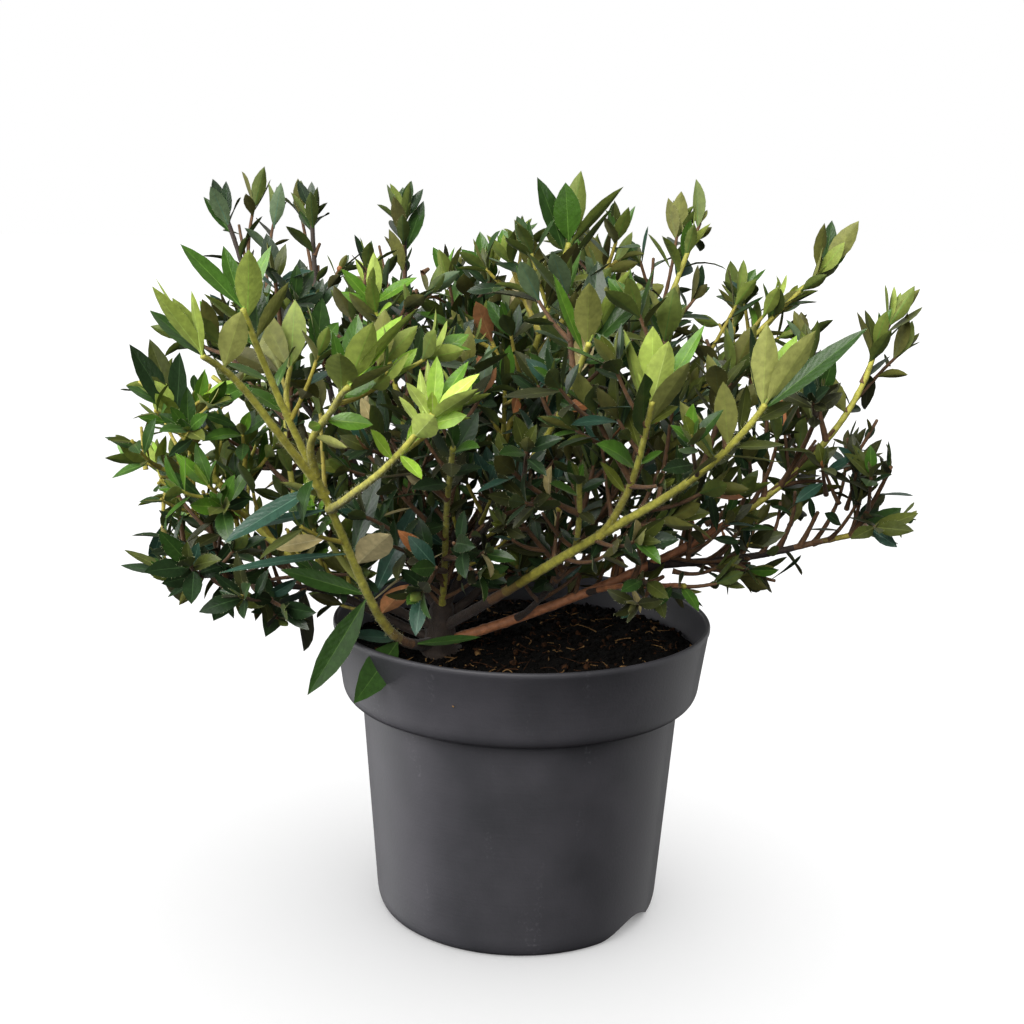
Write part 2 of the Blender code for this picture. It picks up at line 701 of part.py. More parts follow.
def make_mass(number, bough, twigs, spots, limb_spots):
    """One mass of foliage: its stem, side twigs and leaves fused into one solid."""
    meshes = []
    for index, twig in enumerate(twigs):
        stem_radius = bough_radius(bough, bough.enter) * STEM_SWELL
        root_radius = stem_radius if index == 0 else SIDE_RADIUS * MM
        bm = bmesh.new()
        tube(bm, twig, np.linspace(root_radius, TIP_RADIUS * MM, len(twig)), TWIG_SIDES)
        meshes.append(mesh_from(bm, "twig"))
    draw = np.random.RandomState(SEED * 3 + number)
    meshes += mass_leaves(bough, twigs, spots, limb_spots, draw)
    add_object("leaves_" + bough.name, fuse(bough.name, meshes), bough.tone)


def solid_tree(made):
    """A search tree over an object's surface."""
    return BVHTree.FromObject(made, bpy.context.evaluated_depsgraph_get())


def main():
    clear_scene()
    make_pot()
    make_soil()
    trees = {"trunk": solid_tree(make_trunk())}
    draw = np.random.RandomState(SEED)
    curves = {}
    for bough in BOUGHS:
        curves[bough.name] = limb_curve(bough, curves, draw)
        made = make_bough(bough, curves[bough.name], trees[bough.parent])
        trees[bough.name] = solid_tree(made)
    limb_spots = np.concatenate([
        resample(curves[bough.name], 0.0, bough.enter, 40) for bough in BOUGHS
    ])
    masses, spots = grow_twigs(curves, limb_spots)
    for number, bough in enumerate(BOUGHS):
        make_mass(number, bough, masses[bough.name], spots, limb_spots)


main()
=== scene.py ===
"""Looks of the potted dwarf rhododendron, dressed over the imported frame.

Limbs, twigs and leaves grow by the same seeded rule as the solids, carried on to finer shoots.
Lengths in the tables are in millimetres, and the plant is seen from -Y.
"""
import json
import math
from collections import namedtuple

import bmesh
import bpy
import numpy as np
from mathutils import Matrix, Vector, noise
from mathutils.bvhtree import BVHTree
from mathutils.kdtree import KDTree

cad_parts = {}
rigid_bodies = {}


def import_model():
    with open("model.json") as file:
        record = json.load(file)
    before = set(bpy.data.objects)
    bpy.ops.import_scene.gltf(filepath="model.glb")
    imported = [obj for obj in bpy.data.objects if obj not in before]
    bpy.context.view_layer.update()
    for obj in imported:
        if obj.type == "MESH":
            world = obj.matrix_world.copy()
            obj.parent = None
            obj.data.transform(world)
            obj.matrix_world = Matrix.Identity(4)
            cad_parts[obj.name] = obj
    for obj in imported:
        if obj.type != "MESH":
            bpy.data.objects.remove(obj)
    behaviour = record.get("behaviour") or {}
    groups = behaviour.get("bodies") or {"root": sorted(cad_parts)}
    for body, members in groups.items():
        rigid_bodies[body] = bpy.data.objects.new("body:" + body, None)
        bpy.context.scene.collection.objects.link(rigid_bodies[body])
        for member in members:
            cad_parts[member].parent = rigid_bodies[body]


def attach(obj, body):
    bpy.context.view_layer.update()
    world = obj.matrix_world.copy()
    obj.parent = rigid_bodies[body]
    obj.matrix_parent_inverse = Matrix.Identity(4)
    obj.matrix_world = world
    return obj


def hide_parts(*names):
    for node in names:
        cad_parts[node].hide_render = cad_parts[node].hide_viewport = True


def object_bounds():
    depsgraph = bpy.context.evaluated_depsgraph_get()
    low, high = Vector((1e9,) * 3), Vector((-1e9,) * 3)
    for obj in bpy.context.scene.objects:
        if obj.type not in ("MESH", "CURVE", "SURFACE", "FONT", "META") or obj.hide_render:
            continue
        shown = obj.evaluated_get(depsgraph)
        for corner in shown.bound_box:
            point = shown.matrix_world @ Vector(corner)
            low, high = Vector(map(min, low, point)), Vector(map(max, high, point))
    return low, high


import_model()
cad_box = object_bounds()

MM = 0.001
SEED = 4127
GOLDEN_ANGLE = math.radians(137.508)
SIDE_HINT = (0.31, 0.17, 0.93)
UPWARD = np.array((0.0, 0.0, 1.0))

# Pot and peat
RIM_RADIUS = 85.0
POT_HEIGHT = 135.0
BAND_FOOT_RADIUS = 81.0
BAND_FOOT_HEIGHT = 108.0
NECK_RADIUS = 71.9
NECK_HEIGHT = 98.5
FOOT_RADIUS = 61.5
CORNER_HEIGHT = 9.0
WALL = 1.5
PAD_RADIUS = 38.0
CHANNEL_HEIGHT = 8.0
FOOT_INSIDE = 58.5
NOTCH_BEARINGS = (54.0, 234.0)
NOTCH_WIDTH = 46.0
NOTCH_HEIGHT = 8.0
NOTCH_FULLNESS = 0.8
NOTCH_START = 46.0
NOTCH_STEPS = 32
HOLE_COUNT = 4
HOLE_RADIUS = 4.0
HOLE_CIRCLE = 49.0
SOIL_TOP = 123.0

# Root crown
TRUNK_FOOT = (-37.0, -14.0)
TRUNK_HEIGHT = 22.0
TRUNK_LEAN = (2.0, -1.0)
TRUNK_RADII = (10.0, 7.4, 6.2, 5.8, 5.2)
TRUNK_CROWDING = 1.3

# The rule that limbs and twigs follow. Pairs are a least amount and what chance adds to it.
STEM_STEPS = 4
TWIG_STEPS = 2
CURVE_STEPS = 60
TAPER_POWER = 0.8
FORK_FOLLOW = 0.4
FORK_AHEAD = 0.5
WANDER = 0.022
GAP = 0.3
GAPS_BEFORE_STEM = 1.15
GIVEN_BEND = 0.4
GIVEN_FOLLOW = 0.2
TIP_RADIUS = 1.1
SHOOT_CLEARANCE = 4.5
POT_CLEARANCE = (2.0, 1.5)
RIM_INSIDE = 5.0
TURNS_TRIED = 14
CLEAR_FROM = 0.15
HEADING_ALONG = 0.62
HEADING_OUT = 0.85
HEADING_UP = 0.18
TWIG_BEND = 0.55
HIGHEST_TWIG = 0.86
TWIG_REACH = 0.76
TWIG_SHIFT = (0.3, 0.4)
TWIG_SIZE = (0.75, 0.35)
TWIG_LIFT = (0.05, 0.25)
STEM_SPOTS = 24
TWIG_SPOTS = 10
SHOOT_SPOTS = 8
LIMB_SPOTS = 40
CROWN_MIDDLE = np.array((-6.0, -6.0, 214.0))
CROWN_HALF = np.array((164.0, 156.0, 92.0))

Bough = namedtuple("Bough", "name parent at tip out up thick enter sides spread")
BOUGHS = tuple(Bough(*row) for row in (
    ("front_left", "trunk", 0.22, (-102, -120, 280), 0.40, 0.01, 5.4, 0.78, 2, 38),
    ("front_left_outer", "front_left", 0.70, (-113, -138, 265), 0.85, 0.95, 3.4, 0.55, 2, 32),
    ("front_left_inner", "front_left", 0.74, (-62, -144, 256), 0.40, 0.50, 3.2, 0.44, 2, 28),
    ("front_bud", "front_left", 0.67, (-32, -163, 250), 0.90, -0.05, 3.2, 0.66, 1, 22),
    ("front", "trunk", 0.76, (-28, -98, 228), 0.22, 0.40, 3.2, 0.20, 6, 36),
    ("left", "trunk", 0.48, (-148, -30, 232), 0.95, 0.50, 4.4, 0.36, 5, 32),
    ("left_high", "left", 0.24, (-106, 12, 270), 0.50, 0.35, 3.2, 0.25, 4, 40),
    ("low_left", "trunk", 0.18, (-164, 6, 198), 0.95, 0.62, 4.2, 0.36, 5, 36),
    ("low_left_front", "low_left", 0.22, (-148, -34, 160), 0.90, 0.52, 2.8, 0.34, 4, 32),
    ("back_left", "trunk", 0.80, (-150, 98, 310), 0.55, 0.35, 4.4, 0.50, 3, 38),
    ("back_left_inner", "back_left", 0.36, (-106, 92, 312), 0.50, 0.30, 3.2, 0.30, 4, 38),
    ("far_left", "back_left", 0.30, (-152, 70, 232), 0.60, 0.25, 3.0, 0.30, 4, 38),
    ("back", "trunk", 0.56, (-62, 100, 312), 0.50, 0.30, 4.2, 0.30, 5, 40),
    ("rear_left", "back", 0.20, (-76, 140, 222), 0.60, 0.25, 3.0, 0.25, 5, 42),
    ("middle", "trunk", 1.00, (-64, -34, 276), 0.45, 0.50, 3.4, 0.22, 5, 38),
    ("middle_back", "trunk", 0.90, (-26, 40, 266), 0.60, 0.30, 3.6, 0.32, 6, 40),
    ("top", "trunk", 0.78, (16, -24, 302), 0.34, 0.24, 4.2, 0.46, 3, 30),
    ("heart", "top", 0.22, (24, 14, 226), 0.60, 0.25, 3.0, 0.15, 7, 42),
    ("right_front", "trunk", 0.50, (84, -124, 250), 0.85, 0.70, 4.8, 0.58, 2, 38),
    ("front_right", "right_front", 0.38, (44, -122, 250), 0.05, 0.05, 3.2, 0.44, 2, 34),
    ("front_right_high", "top", 0.30, (22, -98, 268), 0.80, 0.40, 3.0, 0.48, 2, 32),
    ("right", "trunk", 0.12, (150, -8, 262), 0.95, 0.42, 4.8, 0.44, 5, 38),
    ("front_low", "right", 0.10, (20, -92, 216), 0.50, 0.30, 2.8, 0.26, 5, 34),
    ("over_rim", "right", 0.20, (66, -60, 166), 0.50, 0.40, 2.6, 0.30, 4, 34),
    ("low_right", "right", 0.30, (152, -12, 180), 0.95, -0.08, 3.8, 0.35, 5, 36),
    ("right_back", "trunk", 0.66, (72, 24, 301), 0.60, 0.25, 4.4, 0.32, 6, 42),
    ("right_back_outer", "right_back", 0.22, (120, 40, 276), 0.55, 0.25, 3.2, 0.34, 3, 38),
    ("back_right", "middle_back", 0.22, (54, 116, 270), 0.60, 0.25, 3.4, 0.28, 6, 44),
))

Spray = namedtuple("Spray", "mass at tip")
SPRAYS = tuple(Spray(*row) for row in (
    ("front_left", 0.30, (-90, -88, 256)),
    ("front_left_inner", 0.35, (-78, -130, 260)),
    ("left", 0.45, (-162, 2, 236)),
    ("low_left", 0.35, (-148, -14, 192)),
    ("low_left_front", 0.10, (-98, -62, 154)),
    ("middle_back", 0.40, (-8, 52, 268)),
    ("top", 0.55, (40, 2, 296)),
    ("right", 0.25, (120, -46, 244)),
    ("low_right", 0.50, (146, 14, 214)),
    ("right_back_outer", 0.40, (131, 18, 292)),
    ("back_right", 0.30, (98, 122, 224)),
    ("back_right", 0.15, (14, 138, 226)),
    ("front_low", 0.20, (52, -70, 196)),
))

# How fresh each mass's leaves are, 0 old and dark to 5 new and lime, at the tip of its stem and
# on its side twigs, how olive they are, how far from the root its bark is brown, how long its
# leaves are, how many stand round the tip of its stem, and how many shoots its bare limb bears.
Look = namedtuple("Look", "tip sides olive brown leaf whorl shoots")
LOOKS = {
    "front_left": Look(2.8, 2.2, 0.25, 14, 33, 0, 3),
    "front_left_outer": Look(3.0, 2.4, 0.30, 0, 30, 0, 0),
    "front_left_inner": Look(4.0, 3.2, 0.10, 0, 28, 0, 0),
    "front_bud": Look(4.8, 3.6, 0.0, 0, 21, 0, 0),
    "front": Look(1.2, 0.8, 0.25, 0, 27, 6, 5),
    "left": Look(4.2, 2.6, 0.10, 40, 26, 8, 6),
    "left_high": Look(1.8, 1.0, 0.15, 0, 27, 7, 5),
    "low_left": Look(3.4, 1.8, 0.15, 70, 25, 7, 6),
    "low_left_front": Look(1.4, 0.8, 0.20, 60, 27, 6, 5),
    # The masses at the back, back_left, back_left_inner and back, are dealt the darkest leaves as painted
    # shade for their shaded tips.
    "back_left": Look(0.6, 0.5, 0.30, 260, 25, 9, 7),
    "back_left_inner": Look(0.6, 0.5, 0.30, 200, 25, 9, 5),
    "far_left": Look(1.8, 1.1, 0.20, 60, 26, 7, 6),
    "back": Look(0.7, 0.6, 0.30, 240, 26, 9, 7),
    "rear_left": Look(1.8, 1.2, 0.25, 60, 28, 7, 6),
    "middle": Look(2.6, 1.1, 0.20, 40, 27, 7, 6),
    "middle_back": Look(2.4, 1.2, 0.25, 50, 27, 7, 7),
    "top": Look(2.8, 1.7, 0.30, 60, 28, 0, 6),
    "heart": Look(1.0, 0.6, 0.30, 50, 29, 7, 5),
    "right_front": Look(2.2, 1.3, 0.50, 30, 27, 0, 10),
    "front_right": Look(3.0, 1.5, 0.35, 0, 28, 0, 3),
    "front_right_high": Look(2.2, 1.1, 0.40, 30, 29, 0, 4),
    "right": Look(1.6, 1.0, 0.55, 120, 25, 8, 14),
    "front_low": Look(1.6, 0.8, 0.50, 40, 25, 6, 5),
    "over_rim": Look(1.8, 1.3, 0.60, 40, 22, 6, 4),
    "low_right": Look(1.3, 0.9, 0.65, 60, 24, 7, 12),
    "right_back": Look(1.3, 0.8, 0.35, 120, 26, 7, 10),
    "right_back_outer": Look(1.8, 1.2, 0.40, 50, 24, 7, 5),
    "back_right": Look(2.0, 1.2, 0.35, 60, 29, 7, 6),
}

# Leaves that are placed one by one: the limb they spring from and how far along, the leaf's
# tip, its width as a share of its length, its kind of colour and the way its upper side faces.
PlacedLeaf = namedtuple("PlacedLeaf", "limb at tip width kind face")
PLACED_LEAVES = tuple(PlacedLeaf(*row) for row in (
    # On the bare foot of the front bough
    ("front_left", 0.46, (-87, -71, 119), 0.25, "green1", (0.5, -0.75, 0.4)),
    ("front_left", 0.26, (-65, -79, 122), 0.29, "green1", (0.3, -0.85, 0.4)),
    # The bluish teal leaves here carry painted sheen in their colour.
    ("front_left", 0.26, (-71, -55, 141), 0.30, "teal", (0.0, -0.6, 0.8)),
    ("front_left", 0.18, (-17, -42, 136), 0.17, "green1", (0.0, -0.5, 0.85)),
    ("front_left", 0.72, (-115, -103, 192), 0.21, "teal", (-0.3, -0.7, 0.65)),
    ("front_left", 0.67, (-113, -93, 193), 0.15, "teal", (-0.1, -0.5, 0.85)),
    ("front_left", 0.57, (-121, -83, 178), 0.10, "teal", (0.0, -0.45, 0.9)),
    ("front_left", 0.47, (-80, -66, 185), 0.12, "olive3", (-0.8, 0.3, 0.4)),
    ("front_left", 0.46, (-99, -63, 171), 0.23, "green1", (0.2, -0.75, 0.6)),
    ("front_left", 0.54, (-52, -81, 193), 0.46, "tan", (-0.2, 0.95, 0.1)),
    ("front_left", 0.39, (-47, -60, 165), 0.38, "orange", (-0.2, 0.9, 0.2)),
    ("front_left", 0.44, (-33, -74, 186), 0.08, "tan", (-0.5, 0.4, 0.6)),
    ("front_left", 0.44, (-44, -50, 198), 0.21, "teal", (-0.3, -0.8, 0.4)),
    ("front_left", 0.56, (-59, -61, 214), 0.23, "green0", (-0.3, -0.8, 0.4)),
    ("front_left", 0.69, (-94, -91, 214), 0.27, "olive3", (0.2, 0.7, 0.6)),
    ("front_bud", 0.53, (-40, -107, 220), 0.19, "tan", (0.0, 0.5, 0.85)),
    ("front_left_inner", 0.39, (-65, -120, 231), 0.27, "olive3", (-0.3, 0.85, 0.3)),
    # Round the tips of the front boughs
    ("front_left_outer", 0.97, (-122, -142, 285), 0.40, "green3", (0.3, 0.8, 0.5)),
    ("front_left_outer", 0.95, (-127, -150, 289), 0.26, "green4", (0.3, 0.8, 0.5)),
    ("front_left_outer", 0.92, (-133, -128, 280), 0.30, "green1", (0.3, -0.5, 0.8)),
    ("front_left_outer", 1.00, (-130, -132, 291), 0.22, "green4", (0.4, 0.3, 0.8)),
    ("front_left_outer", 1.00, (-114, -148, 288), 0.24, "green4", (0.5, 0.4, 0.6)),
    ("front_left_outer", 0.80, (-100, -132, 281), 0.44, "olive3", (0.0, 0.9, 0.3)),
    ("front_left", 0.985, (-98, -126, 302), 0.36, "green3", (0.0, 0.9, 0.2)),
    ("front_left", 1.00, (-124, -116, 303), 0.26, "green2", (0.4, -0.6, 0.6)),
    ("front_left", 1.00, (-111, -108, 301), 0.26, "green2", (0.3, -0.7, 0.5)),
    ("front_left", 0.97, (-112, -136, 287), 0.30, "green4", (0.3, 0.4, 0.8)),
    ("front_left", 1.00, (-93, -112, 302), 0.24, "green3", (-0.3, -0.7, 0.6)),
    ("front_left", 0.96, (-86, -118, 290), 0.26, "olive2", (-0.5, 0.6, 0.6)),
    ("front_left", 0.95, (-100, -104, 290), 0.30, "green1", (0.1, -0.8, 0.5)),
    ("front_left_inner", 0.98, (-53, -150, 280), 0.37, "green3", (-0.1, 0.9, 0.3)),
    ("front_left_inner", 0.96, (-40, -148, 285), 0.20, "green4", (-0.5, 0.4, 0.7)),
    ("front_left_inner", 1.00, (-46, -136, 282), 0.30, "green4", (-0.3, -0.6, 0.7)),
    ("front_left_inner", 1.00, (-60, -132, 280), 0.32, "green2", (0.1, -0.8, 0.5)),
    ("front_left_inner", 0.95, (-67, -142, 275), 0.28, "green2", (0.4, -0.6, 0.7)),
    ("front_left_inner", 0.90, (-63, -156, 271), 0.44, "green3", (0.1, 0.9, 0.2)),
    ("front_left_inner", 0.88, (-46, -152, 266), 0.30, "olive3", (-0.4, 0.5, 0.7)),
    ("right_front", 0.98, (83, -124, 279), 0.33, "olive3", (0.0, 0.95, 0.2)),
    ("right_front", 1.00, (100, -126, 277), 0.35, "olive3", (-0.3, 0.9, 0.3)),
    ("right_front", 0.97, (77, -118, 277), 0.24, "green0", (0.7, -0.6, 0.3)),
    ("right_front", 0.96, (117, -128, 279), 0.18, "green1", (-0.4, -0.7, 0.6)),
    ("right_front", 1.00, (96, -112, 274), 0.30, "green4", (-0.2, -0.8, 0.5)),
    ("right_front", 0.80, (69, -122, 258), 0.33, "olive2", (0.2, 0.95, 0.2)),
    ("right_front", 0.74, (54, -122, 251), 0.28, "olive3", (0.4, 0.85, 0.2)),
    ("right_front", 0.77, (90, -134, 232), 0.13, "olive2", (0.0, 0.4, 0.9)),
    ("right_front", 0.76, (55, -130, 224), 0.39, "olive2", (0.3, 0.8, 0.5)),
    ("front_right", 0.98, (43, -124, 277), 0.37, "green4", (0.1, 0.9, 0.2)),
    ("front_right", 1.00, (48, -130, 273), 0.40, "green5", (-0.1, 0.9, 0.4)),
    ("front_right", 0.93, (32, -122, 275), 0.20, "green3", (0.6, 0.5, 0.5)),
    ("front_right", 0.97, (63, -118, 277), 0.22, "green3", (-0.5, -0.6, 0.6)),
    ("front_right", 0.90, (55, -132, 267), 0.30, "olive3", (-0.4, 0.8, 0.4)),
    ("front_right", 0.84, (39, -130, 262), 0.37, "green1", (0.3, -0.8, 0.4)),
    ("front_right_high", 0.98, (21, -104, 292), 0.39, "olive2", (0.0, 0.95, 0.2)),
    ("front_right_high", 0.96, (43, -96, 291), 0.24, "green1", (-0.4, -0.7, 0.5)),
    ("front_right_high", 1.00, (36, -92, 296), 0.26, "green4", (-0.3, 0.6, 0.6)),
    ("front_right_high", 1.00, (25, -86, 298), 0.32, "green0", (0.0, -0.8, 0.5)),
    ("front_right_high", 0.95, (7, -96, 293), 0.22, "green3", (0.5, -0.6, 0.6)),
    # The pale rosette at the tip of the front bud
    ("front_bud", 0.99, (-18, -166, 265), 0.28, "green5", (-0.4, -0.7, 0.5)),
    ("front_bud", 1.00, (-31, -160, 269), 0.30, "green4", (0.1, -0.8, 0.5)),
    ("front_bud", 0.97, (-34, -150, 266), 0.16, "green3", (0.2, 0.9, 0.2)),
    ("front_bud", 0.99, (-21, -152, 267), 0.24, "green3", (-0.3, -0.7, 0.5)),
    ("front_bud", 0.98, (-40, -166, 262), 0.34, "green5", (0.4, 0.8, 0.2)),
    ("front_bud", 0.92, (-43, -162, 256), 0.36, "green5", (0.6, 0.7, 0.3)),
    ("front_bud", 1.00, (-32, -170, 258), 0.34, "green5", (0.0, -0.7, 0.6)),
    ("front_bud", 0.95, (-17, -172, 261), 0.30, "green5", (-0.5, 0.8, 0.3)),
    ("front_bud", 0.86, (-31, -172, 251), 0.44, "green5", (0.1, 0.9, 0.1)),
    ("front_bud", 0.94, (-37, -154, 264), 0.20, "green4", (0.2, 0.9, 0.2)),
    ("front_bud", 0.90, (-20, -158, 250), 0.30, "green4", (-0.3, 0.6, 0.7)),
    # Along the left edge and under it
    ("left", 0.94, (-165, -36, 258), 0.28, "green0", (0.3, -0.8, 0.5)),
    ("left", 0.98, (-157, -32, 260), 0.30, "olive1", (0.2, -0.8, 0.5)),
    ("left", 0.98, (-169, -26, 241), 0.26, "green1", (0.3, -0.6, 0.7)),
    ("left", 0.96, (-142, -40, 256), 0.34, "green0", (-0.2, -0.8, 0.5)),
    ("low_left_front", 1.00, (-176, -20, 160), 0.20, "green0", (0.0, -0.5, 0.85)),
    ("low_left_front", 1.00, (-173, -24, 167), 0.18, "olive1", (0.1, -0.5, 0.85)),
    ("low_left_front", 0.72, (-148, -36, 147), 0.38, "olive2", (0.1, 0.8, 0.5)),
    ("low_left_front", 0.52, (-131, -44, 142), 0.38, "green0", (0.2, -0.8, 0.4)),
    ("low_left_front", 0.24, (-106, -52, 142), 0.28, "green0", (0.2, -0.8, 0.4)),
    ("low_left_front", 0.14, (-90, -56, 134), 0.26, "olive0", (0.6, -0.7, 0.1)),
    # At the low tips on the right
    ("low_right", 0.98, (175, -4, 186), 0.34, "olive2", (-0.2, -0.5, 0.8)),
    ("low_right", 0.93, (169, 2, 188), 0.34, "green1", (-0.3, -0.7, 0.5)),
    ("low_right", 0.86, (160, 2, 192), 0.36, "green0", (0.3, -0.9, 0.2)),
    ("right", 0.92, (152, 6, 230), 0.40, "olive0", (0.4, -0.9, 0.2)),
    ("right", 0.80, (126, -14, 250), 0.36, "olive2", (0.2, 0.8, 0.4)),
    # The lone tip on the right
    ("far_tip", 0.96, (128, 18, 312), 0.34, "olive1", (-0.5, 0.8, 0.2)),
    ("far_tip", 1.00, (134, 22, 313), 0.34, "green1", (0.1, -0.9, 0.3)),
    ("far_tip", 1.00, (144, 14, 313), 0.36, "olive2", (0.4, 0.8, 0.3)),
    ("far_tip", 0.98, (142, 24, 307), 0.32, "green2", (-0.2, -0.8, 0.5)),
    # The tips at the back on the left, dealt dark leaves as painted shade, and the young leaves below them
    ("back_left", 1.00, (-155, 96, 326), 0.36, "green0", (0.2, -0.9, 0.3)),
    ("back_left", 0.98, (-149, 94, 325), 0.34, "green0", (-0.3, -0.9, 0.2)),
    ("back_left", 0.95, (-160, 98, 318), 0.24, "green1", (0.4, -0.8, 0.3)),
    ("back_left_inner", 1.00, (-113, 92, 326), 0.34, "green0", (0.2, -0.9, 0.3)),
    ("back_left_inner", 0.98, (-107, 94, 326), 0.34, "green0", (-0.3, -0.9, 0.3)),
    ("back", 1.00, (-58, 100, 327), 0.36, "green1", (0.1, -0.9, 0.3)),
    ("back", 0.98, (-53, 102, 324), 0.32, "green0", (-0.4, -0.8, 0.3)),
    ("back", 0.92, (-52, 106, 317), 0.34, "green1", (-0.5, -0.8, 0.3)),
    ("middle", 1.00, (-76, -38, 291), 0.34, "green3", (0.1, -0.6, 0.8)),
    ("middle", 1.00, (-47, -38, 289), 0.34, "green3", (-0.1, -0.6, 0.8)),
    ("middle", 0.96, (-56, -48, 278), 0.36, "green4", (0.0, -0.8, 0.6)),
    ("middle", 0.99, (-64, -30, 297), 0.30, "green4", (0.1, 0.8, 0.5)),
    # The highest tip
    ("top", 1.00, (14, -32, 326), 0.46, "green2", (0.0, -0.9, 0.3)),
    ("top", 0.98, (4, -28, 329), 0.30, "green1", (0.4, -0.8, 0.4)),
    ("top", 1.00, (20, -14, 331), 0.32, "green2", (-0.1, 0.9, 0.3)),
    ("top", 0.99, (36, -20, 327), 0.24, "green2", (-0.5, 0.6, 0.6)),
    ("top", 0.90, (-6, -30, 312), 0.32, "olive1", (0.5, 0.7, 0.4)),
    ("top", 0.94, (34, -30, 317), 0.16, "green0", (-0.4, 0.4, 0.8)),
    ("top", 0.88, (19, -44, 303), 0.33, "olive0", (-0.4, 0.8, 0.4)),
))

# Gaps between the tips, seen from where the plant looks its best: how far across and how high
# each is in the plane through the middle of the pot, and how wide
EYE = (-5.3, -650.0, 322.0)
Opening = namedtuple("Opening", "across height radius")
OPENINGS = tuple(Opening(*row) for row in (
    # The dip between the two lobes
    (-40, 316, 6), (-44, 304, 5), (-45, 292, 3), (-35, 313, 9), (-22, 315, 7), (-11, 317, 5),
    (-48, 292, 3), (-49, 282, 2.5), (-36, 306, 4), (-25, 308, 4), (-13, 310, 3), (-1, 318, 5),
    (-4, 317, 4), (-9, 316, 4), (-17, 306, 3),
    # The back left tips
    (-88, 301, 4), (-79, 299, 4), (-135, 303, 3.5), (-129, 299, 2.5), (-139, 319, 2.5),
    (-123, 308, 3), (-89, 303, 4), (-83, 297, 4), (-90, 291, 2.5), (-65, 299, 3),
    # The left edge
    (-168, 273, 6), (-182, 256, 6), (-192, 229, 8), (-196, 193, 8), (-187, 175, 5),
    (-170, 192, 5.5), (-164, 195, 2.5), (-166, 176, 3.5), (-178, 181, 5.5), (-184, 188, 4.5),
    (-180, 171, 4), (-181, 224, 5.5), (-176, 217, 4), (-189, 216, 4), (-190, 198, 3.5),
    (-166, 228, 2.5), (-178, 250, 4), (-173, 243, 2.5), (-175, 229, 2.5),
    (-184, 241, 4),
    # Through the left side
    (-144, 247, 5), (-138, 240, 3), (-127, 226, 4), (-85, 234, 3), (-86, 225, 2.5), (-96, 226, 2.5),
    (-55, 239, 2.5), (-142, 207, 2.5), (-117, 195, 3.5), (-143, 191, 2.5), (-108, 182, 2.5),
    (-105, 175, 2.5), (-85, 270, 2.5), (-97, 250, 2.5),
    # Under the left side
    (-191, 138, 9), (-169, 129, 8), (-146, 120, 8), (-123, 121, 6), (-105, 107, 11),
    (-173, 141, 5), (-165, 142, 5), (-136, 122, 4), (-127, 126, 4), (-121, 129, 3), (-108, 120, 4),
    (-118, 118, 5), (-108, 115, 5), (-103, 122, 3), (-99, 113, 5), (-114, 124, 3), (-104, 126, 2.5),
    # The top and between the right tips
    (46, 331, 8), (81, 319, 6), (112, 300, 9), (151, 301, 10), (46, 305, 3.5), (52, 296, 2.5),
    (83, 313, 3.5), (79, 278, 4), (84, 271, 2.5), (78, 264, 2.5), (81, 287, 2.5), (100, 286, 2.5),
    (114, 286, 2.5), (117, 294, 3.5), (133, 285, 5.5), (137, 296, 3), (141, 277, 4), (131, 278, 3.5),
    (142, 285, 2.5), (132, 266, 3), (131, 260, 2.5), (139, 254, 2.5),
    # The right edge
    (136, 227, 5), (155, 234, 6), (180, 228, 11), (177, 205, 6), (176, 257, 4), (167, 244, 4),
    (139, 223, 3), (128, 218, 3), (164, 235, 5.5), (157, 231, 3.5), (168, 225, 4), (173, 210, 5),
    (166, 202, 2.5), (169, 198, 2.5), (168, 190, 2.5), (158, 183, 2.5), (133, 186, 2.5),
    (163, 223, 4), (169, 218, 5), (168, 209, 3), (158, 228, 3),
    # Under the right side
    (185, 164, 7), (170, 159, 9), (152, 150, 8), (135, 169, 3.5), (142, 173, 3.5), (148, 171, 2.5),
    (130, 165, 2.5), (137, 151, 5), (145, 159, 4), (156, 166, 4), (165, 168, 3.5), (174, 171, 3),
    (120, 170, 3), (98, 147, 3.5), (108, 143, 3.5), (117, 151, 3), (104, 163, 2.5), (83, 145, 2.5),
    (75, 153, 2.5), (65, 153, 2.5), (90, 147, 2.5),
))

